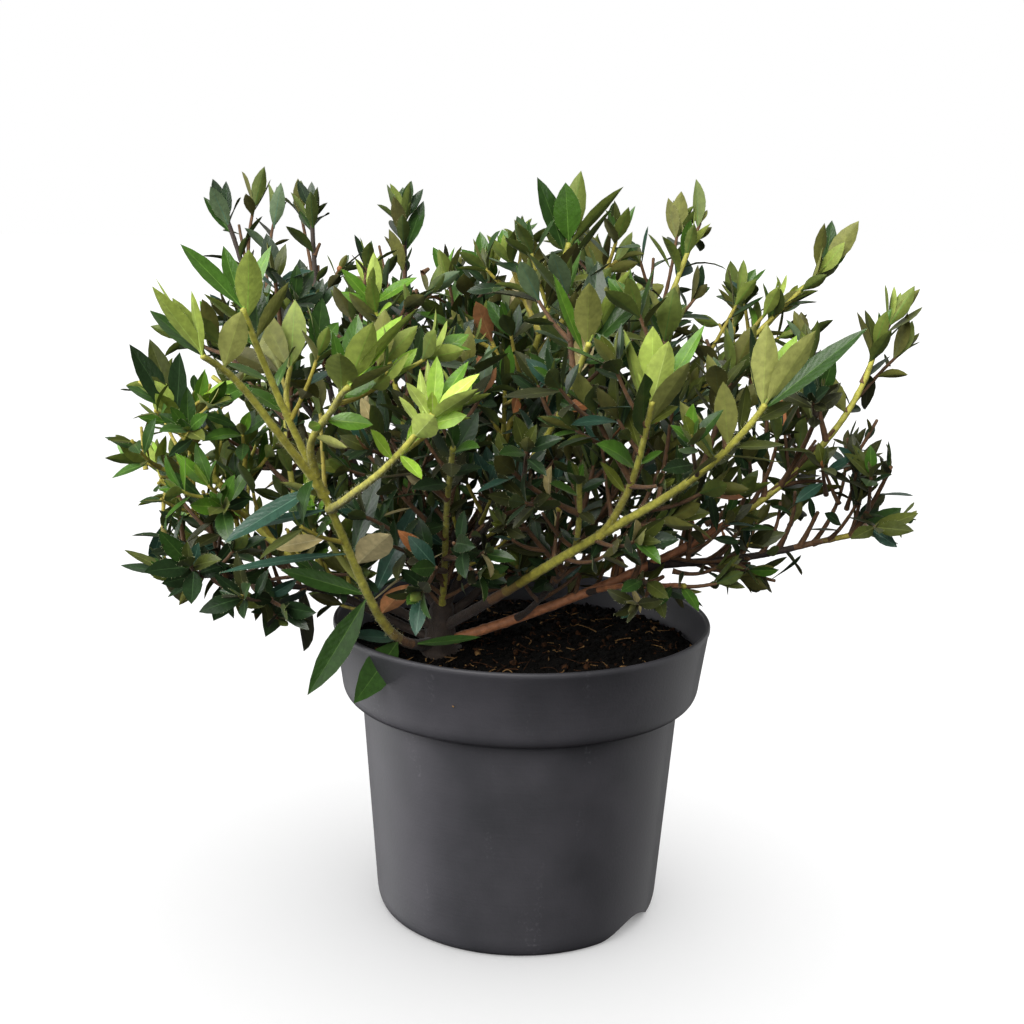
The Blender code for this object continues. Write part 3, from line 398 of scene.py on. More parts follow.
# Twigs that the solids leave out, each to its own tip, and how fresh their leaves are
FineSpray = namedtuple("FineSpray", "mass at tip fresh")
FINE_SPRAYS = tuple(FineSpray(*row) for row in (
    # The tips at the back on the left, dealt dark leaves as painted shade
    ("back_left", 0.60, (-143, 96, 307), 0.6), ("back_left", 0.70, (-136, 104, 314), 1.0),
    ("back_left", 0.45, (-125, 98, 308), 0.8), ("back_left_inner", 0.50, (-114, 106, 312), 0.9),
    ("back_left_inner", 0.60, (-102, 100, 311), 0.7), ("back_left_inner", 0.80, (-90, 104, 313), 0.9),
    ("back", 0.45, (-75, 92, 304), 1.0), ("back", 0.60, (-62, 96, 310), 1.1),
    # Between the two lobes
    ("middle", 0.35, (-69, 10, 283), 3.6), ("middle_back", 0.60, (-36, 18, 286), 2.8),
    ("middle_back", 0.70, (-19, 20, 286), 2.4),
    # The tips on the right
    ("right_back", 0.60, (57, 40, 303), 1.4), ("right_back", 0.75, (68, 44, 306), 1.5),
    ("right_back", 0.85, (78, 42, 310), 1.6), ("right_back_outer", 0.20, (96, 24, 280), 1.8),
    ("right_back_outer", 0.35, (111, 20, 277), 3.8),
    ("right", 0.60, (154, 14, 268), 2.2), ("right", 0.65, (163, 6, 255), 2.2),
    ("right", 0.45, (138, -20, 255), 2.2), ("right", 0.80, (157, -2, 270), 2.4),
    ("right", 0.55, (145, 6, 262), 1.8), ("right", 0.50, (152, -16, 254), 2.0),
    ("right", 0.35, (142, -14, 244), 1.8), ("right", 0.30, (148, 10, 250), 1.6),
    # The low tips on the right
    ("low_right", 0.80, (169, 0, 183), 2.0), ("low_right", 0.65, (161, 10, 201), 1.2),
    ("low_right", 0.55, (157, 12, 216), 1.0), ("low_right", 0.45, (146, 20, 212), 1.0),
    ("right", 0.05, (94, -34, 214), 1.0), ("right", 0.12, (108, -18, 222), 1.2),
    ("low_right", 0.05, (112, -12, 192), 0.6), ("low_right", 0.02, (102, -22, 186), 0.6),
    ("right", 0.18, (120, -10, 206), 0.6), ("right", 0.24, (132, -4, 200), 0.6),
    ("low_right", 0.25, (136, -4, 208), 0.6), ("low_right", 0.15, (117, -18, 198), 0.6),
    # In front of the heart
    ("front", 0.10, (-66, -72, 196), 0.6), ("front", 0.05, (-56, -64, 182), 0.4),
    ("low_left_front", 0.50, (-124, -44, 156), 1.0), ("low_left_front", 0.20, (-88, -58, 176), 0.8),
    ("left", 0.10, (-114, -38, 197), 0.9), ("low_left", 0.10, (-126, -12, 192), 0.8),
    ("low_left_front", 0.02, (-70, -52, 166), 0.4),
    # The left edge
    ("left", 0.85, (-134, -40, 236), 4.4), ("left", 0.70, (-158, -20, 228), 3.0),
    ("low_left", 0.60, (-168, -6, 204), 4.4), ("left", 0.80, (-166, -16, 240), 2.0),
    ("low_left", 0.80, (-158, -14, 160), 1.0), ("left", 0.90, (-168, -10, 232), 2.6),
))


def v3(x, y, z):
    """A point in metres from millimetres."""
    return np.array((x, y, z), dtype=float) * MM


def unit(vector):
    """The same direction with length one."""
    return vector / np.linalg.norm(vector)


def bezier(start, bend, end, count):
    """Points along a quadratic curve, as count + 1 rows."""
    t = np.linspace(0.0, 1.0, count + 1)[:, None]
    return (1 - t) ** 2 * start + 2 * t * (1 - t) * bend + t ** 2 * end


def cross_axes(tangent):
    """Two directions square to a tangent and to each other."""
    side = unit(np.cross(tangent, SIDE_HINT))
    return side, np.cross(tangent, side)


def outward(tangent, turn):
    """The direction square to a tangent at some turn about it."""
    side, other = cross_axes(tangent)
    return math.cos(turn) * side + math.sin(turn) * other


def along(points, share):
    """The point that lies a share of the way along a polyline, and the tangent there."""
    place = min(max(share, 0.0), 1.0) * (len(points) - 1)
    index = min(int(place), len(points) - 2)
    rest = place - index
    tangent = unit(points[index + 1] - points[index])
    return points[index] * (1 - rest) + points[index + 1] * rest, tangent


def resample(points, first, last, count):
    """Evenly spread points between two shares of a curve."""
    return np.array([along(points, share)[0] for share in np.linspace(first, last, count + 1)])


def line_length(points):
    """The length of a polyline."""
    return np.sum(np.linalg.norm(np.diff(points, axis=0), axis=1))


def spot_tree(points):
    """A search tree over points."""
    tree = KDTree(len(points))
    for index, point in enumerate(points):
        tree.insert(point, index)
    tree.balance()
    return tree


def gaps_to(tree, points):
    """How far each point is from the nearest in a search tree."""
    return np.array([tree.find(point)[2] for point in points])


def distance_to(points, others):
    """The least distance between two sets of points."""
    return np.min(np.linalg.norm(points[:, None, :] - others[None, :, :], axis=2))


def all_rows(spots, but=None):
    """The points along every mass's twigs in one array, but for one mass if it is named."""
    return np.concatenate([row for name, rows in spots.items() if name != but for row in rows])


# Growth: the same rule as the solids follow

def trunk_line():
    """The root crown's axis, from soil level up to the fork."""
    foot = v3(*TRUNK_FOOT, SOIL_TOP + GAP)
    rise = v3(*TRUNK_LEAN, TRUNK_HEIGHT)
    shares = np.linspace(0.0, 1.0, len(TRUNK_RADII)) ** TRUNK_CROWDING
    return np.array([foot + rise * share for share in shares])


def limb_curve(bough, curves, draw):
    """The whole curve of a bough and the shoot that it carries, as fine points."""
    if bough.parent == "trunk":
        start = along(trunk_line(), bough.at)[0]
    else:
        start, tangent = along(curves[bough.parent], bough.at)
    way = v3(*bough.tip) - start
    length = np.linalg.norm(way)
    bend = start + way * np.array((bough.out, bough.out, bough.up))
    if bough.parent != "trunk":
        ahead = start + tangent * length * FORK_AHEAD
        bend = bend * (1.0 - FORK_FOLLOW) + ahead * FORK_FOLLOW
    points = bezier(start, bend, start + way, CURVE_STEPS)
    wander = draw.normal(0.0, WANDER, 3) * length
    share = np.linspace(0.0, 1.0, len(points))[:, None]
    return points + wander * np.sin(math.tau * share) * share * (1 - share) * 2.0


def bough_radius(bough, share):
    """The limb's radius in metres at a share of its whole curve."""
    root = bough.thick * 0.5
    return (root + (TIP_RADIUS - root) * share ** TAPER_POWER) * MM


def stem_line(bough, points):
    """The stem of a mass, which carries on its bough's curve."""
    first = bough.enter + GAPS_BEFORE_STEM * GAP * MM / line_length(points)
    return resample(points, first, 1.0, STEM_STEPS)


def side_twig(stem, share, turn, length, lift):
    """A twig that leaves the stem at a slant and turns up towards the light."""
    start, tangent = along(stem, share)
    radial = outward(tangent, turn)
    heading = unit(tangent * HEADING_ALONG + radial * HEADING_OUT + UPWARD * HEADING_UP)
    end = start + (heading + UPWARD * lift) * length
    return bezier(start, start + heading * length * TWIG_BEND, end, TWIG_STEPS)


def inside_pot(points):
    """Whether any point is in or too near the pot's wall, rim or peat."""
    radius = np.hypot(points[:, 0], points[:, 1]) / MM
    height = points[:, 2] / MM
    aside, above = POT_CLEARANCE
    near_pot = (radius < RIM_RADIUS + aside) & (height < POT_HEIGHT + above)
    over_soil = (radius < BAND_FOOT_RADIUS - RIM_INSIDE) & (height > SOIL_TOP + above)
    return bool(np.any(near_pot & ~over_soil))


def depth_in_crown(point):
    """How far out in the crown a point lies: 0 in its heart and 1 at its surface, squared."""
    return np.sum(((point / MM - CROWN_MIDDLE) / CROWN_HALF) ** 2)


def roomiest_twig(stem, share, turn, length, lift, taken, limb_spots, clearance):
    """Of several turns about the stem, the twig whose tip has the most free room round it."""
    best = None
    best_room = clearance * MM
    for attempt in range(TURNS_TRIED):
        twig = side_twig(stem, share, turn + attempt * GOLDEN_ANGLE, length, lift)
        fine = resample(twig, CLEAR_FROM, 1.0, TWIG_SPOTS)
        if inside_pot(fine) or depth_in_crown(twig[-1]) >= 1.0:
            continue
        if distance_to(fine[2:], taken) < clearance * MM:
            continue
        if distance_to(fine[1:], limb_spots) < clearance * MM:
            continue
        room = distance_to(fine[-3:], taken)
        if room > best_room:
            best = twig
            best_room = room
    return best


def given_twig(stem, spray):
    """A twig from the stem to a given tip."""
    start, tangent = along(stem, spray.at)
    way = v3(*spray.tip) - start
    bend = start + way * GIVEN_BEND + tangent * np.linalg.norm(way) * GIVEN_FOLLOW
    return bezier(start, bend, start + way, TWIG_STEPS)


def grow_twigs(curves, limb_spots):
    """Every mass's stem and side twigs, each kept clear of its neighbours."""
    masses = {bough.name: [stem_line(bough, curves[bough.name])] for bough in BOUGHS}
    spots = {name: [resample(twigs[0], 0.0, 1.0, STEM_SPOTS)] for name, twigs in masses.items()}
    for spray in SPRAYS:
        twig = given_twig(masses[spray.mass][0], spray)
        masses[spray.mass].append(twig)
        spots[spray.mass].append(resample(twig, 0.0, 1.0, TWIG_SPOTS))
    draw = np.random.RandomState(SEED + 1)
    for index in range(max(bough.sides for bough in BOUGHS)):
        for bough in BOUGHS:
            place, size, rise, start_turn = draw.uniform(0.0, 1.0, 4)
            if index >= bough.sides:
                continue
            shift = index + TWIG_SHIFT[0] + TWIG_SHIFT[1] * place
            share = HIGHEST_TWIG - TWIG_REACH * shift / bough.sides
            twig = roomiest_twig(
                masses[bough.name][0], share, math.tau * start_turn,
                bough.spread * MM * (TWIG_SIZE[0] + TWIG_SIZE[1] * size),
                TWIG_LIFT[0] + TWIG_LIFT[1] * rise, all_rows(spots), limb_spots, SHOOT_CLEARANCE,
            )
            if twig is not None:
                masses[bough.name].append(twig)
                spots[bough.name].append(resample(twig, 0.0, 1.0, TWIG_SPOTS))
    return masses, spots


# Growth: finer shoots, which the solids leave out

SHOOTS_ON_STEM = (0.28, 0.55, 0.80)
SHOOTS_ON_SIDE = (0.45, 0.78)
SHOOT_SHIFT = 0.1
SHOOT_LENGTH = (13.0, 11.0)
LIMB_SHOOTS = (0.34, 0.64)
LIMB_SHOOT_LENGTH = (16.0, 14.0)
SHOOT_LIFT = (0.1, 0.3)
FINE_CLEARANCE = 3.2
OWN_SPOT = 0.001
LIMB_ROOM = 9.0
CURVE_FINENESS = 8


def smooth(twig):
    """A twig of three points as the fine quadratic curve that they lie on."""
    start, middle, end = twig
    return bezier(start, 2.0 * middle - 0.5 * (start + end), end, CURVE_FINENESS)


OPENING_WAYS = np.array([(gap.across, 0.0, gap.height) for gap in OPENINGS]) - EYE
OPENING_REACHES = np.linalg.norm(OPENING_WAYS, axis=1)
OPENING_SLOPES = np.array([gap.radius for gap in OPENINGS]) / OPENING_REACHES


def in_opening(points):
    """Whether any point lies in one of the gaps between the tips."""
    rays = points / MM - EYE
    ahead = rays @ (OPENING_WAYS / OPENING_REACHES[:, None]).T
    aside = np.sqrt(np.maximum(np.sum(rays ** 2, axis=1)[:, None] - ahead ** 2, 0.0))
    return bool(np.any(aside < OPENING_SLOPES * ahead))


NEVER_OPEN = 1.01
SHARES_LOOKED_AT = 25


def open_from(twig):
    """The share along a twig at which it comes into a gap between the tips, or over 1 if never."""
    for share in np.linspace(0.0, 1.0, SHARES_LOOKED_AT):
        if in_opening(along(twig, share)[0][None]):
            return share
    return NEVER_OPEN


# Limbs that nothing grows in front of, and between which shares of their curves
IN_SIGHT = {
    "front_left": (0.30, 0.96), "front_left_outer": (0.10, 0.90), "front_bud": (0.05, 0.90),
    "front": (0.10, 0.70), "right_front": (0.14, 0.97), "front_right": (0.05, 0.90),
    "right": (0.03, 0.36),
}
SIGHT_MARGIN = 2.6
SIGHT_DEPTH = 3.0


def as_seen(points):
    """Where points show in the plane through the middle of the pot, and how far off they are."""
    rays = points / MM - EYE
    return rays[:, ::2] / rays[:, 1:2] * abs(EYE[1]), rays[:, 1]


def limbs_in_sight(curves):
    """The parts of the limbs that stay in sight, as they are seen."""
    lines = [resample(curves[name], *shares, LIMB_SPOTS) for name, shares in IN_SIGHT.items()]
    return as_seen(np.concatenate(lines))


def hides_limb(points, sight):
    """Whether any point lies in front of a limb that stays in sight."""
    shown, depth = as_seen(points)
    aside = np.linalg.norm(shown[:, None] - sight[0][None], axis=2)
    ahead = depth[:, None] < sight[1][None] - SIGHT_DEPTH
    return bool(np.any((aside < SIGHT_MARGIN) & ahead))


def clear_of(spots, line, room):
    """The spots that don't lie close along a line."""
    gaps = np.min(np.linalg.norm(spots[:, None] - line[None], axis=2), axis=1)
    return spots[gaps > room]


def grow_fine_sprays(masses, spots):
    """The given twigs that the solids leave out, and how fresh each is."""
    sprays = {bough.name: [] for bough in BOUGHS}
    for spray in FINE_SPRAYS:
        twig = given_twig(masses[spray.mass][0], spray)
        sprays[spray.mass].append((twig, spray.fresh))
        spots[spray.mass].append(resample(twig, 0.0, 1.0, TWIG_SPOTS))
    return sprays


def keep_shoot(name, shoot, shoots, spots, sight):
    """Add a shoot to a mass, unless there was no room or it shows where it shouldn't."""
    if shoot is not None and not in_opening(shoot) and not hides_limb(shoot, sight):
        shoots[name].append(shoot)
        spots[name].append(resample(shoot, 0.0, 1.0, SHOOT_SPOTS))


def grow_limb_shoots(curves, spots, limb_spots, sight):
    """Short leafy shoots on the bare limbs, above the foot of the plant."""
    draw = np.random.RandomState(SEED + 5)
    shoots = {bough.name: [] for bough in BOUGHS}
    for bough in BOUGHS:
        curve = curves[bough.name]
        count = LOOKS[bough.name].shoots
        for number in range(count):
            shift, size, rise, start_turn = draw.uniform(0.0, 1.0, 4)
            share = bough.enter * (LIMB_SHOOTS[0] + LIMB_SHOOTS[1] * (number + shift) / count)
            gaps = np.linalg.norm(limb_spots - along(curve, share)[0], axis=1)
            shoot = roomiest_twig(
                curve, share, math.tau * start_turn,
                (LIMB_SHOOT_LENGTH[0] + LIMB_SHOOT_LENGTH[1] * size) * MM,
                SHOOT_LIFT[0] + SHOOT_LIFT[1] * rise, all_rows(spots),
                limb_spots[gaps > LIMB_ROOM * MM], FINE_CLEARANCE,
            )
            keep_shoot(bough.name, shoot, shoots, spots, sight)
    return shoots


def grow_shoots(masses, shoots, spots, limb_spots, sight):
    """Short shoots on stems and side twigs, in the room that is left."""
    draw = np.random.RandomState(SEED + 7)
    for bough in BOUGHS:
        for number, twig in enumerate(masses[bough.name]):
            for place in SHOOTS_ON_STEM if number == 0 else SHOOTS_ON_SIDE:
                shift, size, rise, start_turn = draw.uniform(0.0, 1.0, 4)
                taken = clear_of(all_rows(spots), resample(twig, 0.0, 1.0, TWIG_SPOTS), OWN_SPOT * MM)
                shoot = roomiest_twig(
                    twig, place + SHOOT_SHIFT * (shift - 0.5), math.tau * start_turn,
                    (SHOOT_LENGTH[0] + SHOOT_LENGTH[1] * size) * MM,
                    SHOOT_LIFT[0] + SHOOT_LIFT[1] * rise, taken, limb_spots, FINE_CLEARANCE,
                )
                keep_shoot(bough.name, shoot, shoots, spots, sight)


# Leaves

Blade = namedtuple("Blade", "root heading side length width bend fold twist kind")
LEAF_WIDTH = (0.31, 0.41)
LEAF_SCALE = 0.90
LEAF_LIFT = 0.10
LOWEST_FRESH = 172.0
LEAF_LIMB_CLEARANCE = 2.0
LEAF_SPACE = 0.2
PLACED_FOLD = 0.22
PLACED_BENDS = (-0.25, 0.1)
LEAF_BENDS = (-0.16, 0.26)
LEAF_FOLDS = (0.10, 0.42)
LEAF_TWIST = 0.3
LEAF_FITS = (1.0, 0.8, 0.62)
SHOOT_LEAF = 0.85
MIDDLE = 0.6

# On each kind of twig, where the lowest leaf stands and the space between leaves
LEAF_ROWS = {"stem": (0.05, 5.4), "side": (0.18, 4.8), "shoot": (0.32, 4.4), "tuft": (0.50, 5.5)}
LEAF_SLANTS = (36, 70)
LEAF_SIZES = (0.62, 0.98)
HIGHEST_ROW = 0.88
ROWS_END = 0.9
ROW_FRESHNESS = -0.9
ROW_CHANCE = (0.2, 0.8)
ROW_TURN = 0.3

# The leaves round a tip: their slants from the innermost out, and their sizes
WHORL_SLANTS = {"stem": (8, 50), "side": (8, 50), "shoot": (8, 50), "tuft": (8, 26)}
WHORL_SIZES = (0.84, 1.06)
WHORL_PLACE = (0.90, 0.095)
WHORL_SHRINK = 0.34
WHORL_FRESHNESS = (1.3, 0.45)
WHORL_SLANT = 8
WHORL_TURN = 0.25
LEAST_WHORL = 6


def leaf_frame(twig, share, turn, slant):
    """A leaf's root, its heading and the direction across its blade."""
    root, tangent = along(twig, share)
    radial = outward(tangent, turn)
    heading = unit(math.cos(slant) * tangent + math.sin(slant) * radial + (0.0, 0.0, LEAF_LIFT))
    return root, heading, unit(np.cross(heading, tangent))


def leaf_places(kind, twig, fresh, whorl, draw):
    """Where leaves stand on a twig: share, turn, slant, size and freshness of each."""
    length = line_length(twig) / MM
    turn = draw.uniform(0.0, math.tau)
    places = []
    lowest, spacing = LEAF_ROWS[kind]
    count = int((ROWS_END - lowest) * length / spacing)
    for index in range(count):
        share = lowest + (HIGHEST_ROW - lowest) * (index + draw.uniform(*ROW_CHANCE)) / count
        slant = math.radians(draw.uniform(*LEAF_SLANTS))
        places.append((share, turn, slant, draw.uniform(*LEAF_SIZES), fresh + ROW_FRESHNESS))
        turn += GOLDEN_ANGLE + draw.uniform(-ROW_TURN, ROW_TURN)
    steepest, widest = WHORL_SLANTS[kind]
    for index in range(whorl):
        inner = index / (whorl - 1)
        opened = steepest + (widest - steepest) * (1.0 - inner)
        slant = math.radians(opened + draw.uniform(-WHORL_SLANT, WHORL_SLANT))
        share = WHORL_PLACE[0] + WHORL_PLACE[1] * inner
        size = draw.uniform(*WHORL_SIZES) * (1.0 - WHORL_SHRINK * inner ** 2)
        rise, middle = WHORL_FRESHNESS
        places.append((share, turn, slant, size, fresh + rise * (inner - middle)))
        turn += GOLDEN_ANGLE + draw.uniform(-WHORL_TURN, WHORL_TURN)
    return places


# Leaves are fresher and lighter the further out they stand, from a share of the crown's reach and between
# two limits, and less fresh and darker below the lowest fresh height: partly the age of the leaves and
# partly painted shade
FRESH_RISE = 1.6
FRESH_FROM = 0.84
FRESH_LIMITS = (-0.7, 0.1)
LOW_FADE = 40.0


def leaf_age_and_shade(fresh, root):
    """How fresh a leaf is where it stands: less and darker in the heart of the crown and near its foot,
    partly from age and partly as painted shade.
    """
    out = math.sqrt(depth_in_crown(root))
    least, most = FRESH_LIMITS
    age = fresh + min(max(FRESH_RISE * (out - FRESH_FROM), least), most)
    return age - max(LOWEST_FRESH - root[2] / MM, 0.0) / LOW_FADE, out


# How many leaves are faded, by chance: only old ones in the heart of the crown
FRESHEST = 5.0
FRESH_CHANCE = 0.45
FADED_BELOW = 1.4
FADED_WITHIN = 0.75
FADED_CHANCE = 0.035
TAN_CHANCE = 0.022
SHEEN_TEAL_BELOW = 1.2
SHEEN_TEAL_CHANCE = 0.10
OLIVE_STEPS = 4


def leaf_kind(fresh, out, olive, draw):
    """The colour that a leaf of some freshness is dealt."""
    chance = draw.uniform()
    step = int(round(min(max(fresh + draw.normal(0.0, FRESH_CHANCE), 0.0), FRESHEST)))
    if fresh < FADED_BELOW and out < FADED_WITHIN and chance < FADED_CHANCE:
        return "tan" if chance < TAN_CHANCE else "orange"
    # Some old leaves are dealt the bluish teal colours, which are painted sheen.
    if fresh < SHEEN_TEAL_BELOW and chance > 1.0 - SHEEN_TEAL_CHANCE:
        return "teal"
    if draw.uniform() < olive and step < OLIVE_STEPS:
        return "olive%d" % step
    return "green%d" % step


# Where a leaf is looked at for what it would touch: shares of its length and of its width
SPOTS_ALONG = (0.2, 0.5, 0.8, 1.0)
SPOTS_ASIDE = (0.35, 0.6)
SPOT_HALF = 0.42
KITE_ENDS = (0.25, 0.97)
KITE_HALF = 0.45


def blade_spots(root, heading, side, length, width):
    """Sample points over a leaf blade."""
    rows = [root + heading * length * share for share in SPOTS_ALONG]
    for share in SPOTS_ASIDE:
        rows.append(root + heading * length * share + side * width * SPOT_HALF)
        rows.append(root + heading * length * share - side * width * SPOT_HALF)
    return np.array(rows)


def kite(root, heading, side, length, width):
    """A flat kite for the part of a leaf that lies clear of its twig."""
    middle = root + heading * length * 0.5
    corners = (
        root + heading * length * KITE_ENDS[0], middle + side * width * KITE_HALF,
        root + heading * length * KITE_ENDS[1], middle - side * width * KITE_HALF,
    )
    return BVHTree.FromPolygons([tuple(corner) for corner in corners], [(0, 1, 2), (0, 2, 3)])


# How far inside the solids' reach the leaves stay
EDGE_ROOM = 0.5


def in_box(points):
    """Whether points lie within the reach of the solids."""
    low, high = np.array(cad_box[0]), np.array(cad_box[1])
    return bool(np.all(points > low + EDGE_ROOM * MM) and np.all(points < high - EDGE_ROOM * MM))


# How far round a leaf the others are looked at, and how freshness differs between twigs
KITE_REACH = 34.0
PLACED_REACH = 44.0
TWIG_CHANCE = 0.4
SHOOT_FRESHNESS = -0.3


class Kites:
    """The flat kites of leaves that stand already, found by their middles."""

    def __init__(self, reach):
        self.reach = reach * MM
        self.middles = np.zeros((0, 3))
        self.trees = []

    def add(self, middle, tree):
        self.middles = np.vstack([self.middles, middle])
        self.trees.append(tree)

    def crossed_by(self, middle, tree):
        near = np.flatnonzero(np.sum((self.middles - middle) ** 2, axis=1) < self.reach ** 2)
        return any(tree.overlap(self.trees[index]) for index in near)


def leafy_twigs(name, masses, sprays, shoots, draw):
    """A mass's twigs, each with how its leaves stand and how fresh they are."""
    look = LOOKS[name]
    given = sum(spray.mass == name for spray in SPRAYS)
    twigs = [("stem", masses[name][0], look.tip)]
    twigs += [("tuft", twig, fresh) for twig, fresh in sprays[name]]
    for number, twig in enumerate(masses[name][1:]):
        kind = "tuft" if number < given else "side"
        twigs.append((kind, twig, look.sides + draw.normal(0.0, TWIG_CHANCE)))
    for twig in shoots[name]:
        twigs.append(("shoot", twig, look.sides + SHOOT_FRESHNESS + draw.normal(0.0, TWIG_CHANCE)))
    return twigs


def place_leaves(lines, placed, draw):
    """The leaves that the table places one by one."""
    blades = []
    for leaf in PLACED_LEAVES:
        root = along(lines[leaf.limb], leaf.at)[0]
        way = v3(*leaf.tip) - root
        length = np.linalg.norm(way)
        heading = way / length
        side = unit(np.cross(heading, leaf.face))
        width = length * leaf.width
        bend = draw.uniform(*PLACED_BENDS)
        blades.append(Blade(root, heading, side, length, width, bend, PLACED_FOLD, 0.0, leaf.kind))
        placed.add(root + heading * length * MIDDLE, kite(root, heading, side, length, width))
    return blades


def grow_leaves(masses, sprays, shoots, spots, limb_spots, curves, sight):
    """Every leaf, each skipped where it would leave its space or cut another."""
    draw = np.random.RandomState(SEED + 23)
    placed = Kites(PLACED_REACH)
    limb_tree = spot_tree(limb_spots)
    lines = dict(curves, far_tip=smooth(masses["right_back_outer"][1]))
    blades = place_leaves(lines, placed, draw)
    for bough in BOUGHS:
        look = LOOKS[bough.name]
        own = spot_tree(np.concatenate(spots[bough.name]))
        foreign = spot_tree(all_rows(spots, bough.name))
        kites = Kites(KITE_REACH)
        for kind, twig, fresh in leafy_twigs(bough.name, masses, sprays, shoots, draw):
            scale = SHOOT_LEAF if kind == "shoot" else 1.0
            last = NEVER_OPEN if kind == "stem" else open_from(twig)
            whorl = look.whorl if kind == "stem" else LEAST_WHORL + draw.randint(0, 3)
            for share, turn, slant, size, age in leaf_places(kind, twig, fresh, whorl, draw):
                ratio = draw.uniform(*LEAF_WIDTH)
                bend = draw.normal(*LEAF_BENDS)
                fold = draw.uniform(*LEAF_FOLDS)
                twist = draw.normal(0.0, LEAF_TWIST)
                stance = leaf_frame(twig, share, turn, slant)
                colour = leaf_kind(*leaf_age_and_shade(age, stance[0]), look.olive, draw)
                if share > last:
                    continue
                for fit in LEAF_FITS:
                    length = LEAF_SCALE * look.leaf * MM * size * scale * fit
                    width = length * ratio
                    blade = blade_spots(*stance, length, width)
                    if inside_pot(blade) or not in_box(blade) or in_opening(blade):
                        continue
                    if hides_limb(blade, sight):
                        continue
                    if np.min(gaps_to(limb_tree, blade)) < LEAF_LIMB_CLEARANCE * MM:
                        continue
                    if np.any(gaps_to(foreign, blade) - gaps_to(own, blade) < LEAF_SPACE * MM):
                        continue
                    middle = stance[0] + stance[1] * length * MIDDLE
                    outer = kite(*stance, length, width)
                    if kites.crossed_by(middle, outer) or placed.crossed_by(middle, outer):
                        continue
                    kites.add(middle, outer)
                    blades.append(Blade(*stance, length, width, bend, fold, twist, colour))
                    break
    return blades


# Meshes

BLADE_ROWS = np.array((0.0, 0.07, 0.17, 0.34, 0.52, 0.70, 0.87, 1.0))
BLADE_COLUMNS = np.array((-1.0, -0.52, 0.0, 0.0, 0.52, 1.0))
RIB_COLUMN = 2
RIB_HALF = 0.22
PETIOLE_END = 0.07
PETIOLE_HALF = 0.55
BLADE_FULLNESS = 0.92
WIDEST_SHARE = 0.479
BLADE_CUP = 18.0
BLADE_THICKNESS = 0.28


def blade_shape(lengths, widths, bends, folds, twists):
    """Both faces of every leaf in its own axes: across, along and out of its upper side."""
    rows = BLADE_ROWS[None, :, None]
    columns = BLADE_COLUMNS[None, None, :]
    swell = np.clip((BLADE_ROWS - PETIOLE_END) / (1.0 - PETIOLE_END), 0.0, 1.0)
    outline = swell ** BLADE_FULLNESS * (1.0 - swell)
    outline = outline / (WIDEST_SHARE ** BLADE_FULLNESS * (1.0 - WIDEST_SHARE))
    petiole = np.where(BLADE_ROWS < 0.10, PETIOLE_HALF * MM, 0.0)[None, :]
    half = np.maximum(outline[None, :] * widths[:, None] * 0.5, petiole)[:, :, None]
    rib = np.minimum(RIB_HALF * MM * (1.15 - rows), half * 0.5)[:, :, 0]
    across = columns * half
    across[:, :, RIB_COLUMN] = -rib
    across[:, :, RIB_COLUMN + 1] = rib
    arc = bends[:, None, None] * rows
    safe = np.where(np.abs(bends) < 1e-4, 1e-4, bends)[:, None, None]
    run = lengths[:, None, None] * np.sin(arc) / safe
    rise = lengths[:, None, None] * (1.0 - np.cos(arc)) / safe
    lean = folds[:, None, None] * np.abs(across) - BLADE_CUP * across ** 2
    turn = twists[:, None, None] * rows
    x = across * np.cos(turn) - lean * np.sin(turn)
    z = across * np.sin(turn) + lean * np.cos(turn)
    top = np.stack([x, run - z * np.sin(arc), rise + z * np.cos(arc)], axis=-1)
    inner = np.where(np.abs(columns) < 0.9, 1.0, 0.0)
    under = top.copy()
    under[..., 2] -= BLADE_THICKNESS * MM * inner * np.where(rows < 1.0, 1.0, 0.0)
    return top, under


def blade_points(blades):
    """Both faces of leaves in place: leaf, face, row and column."""
    layers = blade_shape(*[
        np.array([getattr(blade, name) for blade in blades])
        for name in ("length", "width", "bend", "fold", "twist")
    ])
    roots, heads, sides = [
        np.array([getattr(blade, name) for blade in blades])[:, None, None]
        for name in ("root", "heading", "side")
    ]
    faces_up = np.cross(sides, heads)
    return np.stack([
        roots + layer[..., :1] * sides + layer[..., 1:2] * heads + layer[..., 2:] * faces_up
        for layer in layers
    ], axis=1)


def blade_mesh(name, blades, coats):
    """One joined mesh of leaves: upper side, underside and midrib each with its own coat."""
    count = len(blades)
    wide = len(BLADE_COLUMNS)
    layer_size = len(BLADE_ROWS) * wide
    quads = []
    slots = []
    for row in range(len(BLADE_ROWS) - 1):
        for column in range(wide - 1):
            first = row * wide + column
            low = first + layer_size
            quads.append((first, first + 1, first + wide + 1, first + wide))
            quads.append((low, low + wide, low + wide + 1, low + 1))
            slots += (2, 2) if column == RIB_COLUMN else (0, 1)
    quads = np.array(quads)[None] + (np.arange(count) * 2 * layer_size)[:, None, None]
    across, far = np.meshgrid(BLADE_COLUMNS * 0.5 + 0.5, BLADE_ROWS)
    flat = np.tile(np.stack([across.ravel(), far.ravel()], axis=1), (2 * count, 1))
    points = blade_points(blades).reshape(-1, 3)
    return mesh_of(name, points, [quads.reshape(-1, 4)], [np.tile(slots, count)], coats, flat)


def put(name, data):
    """A new object in the scene."""
    made = bpy.data.objects.new(name, data)
    bpy.context.scene.collection.objects.link(made)
    return made


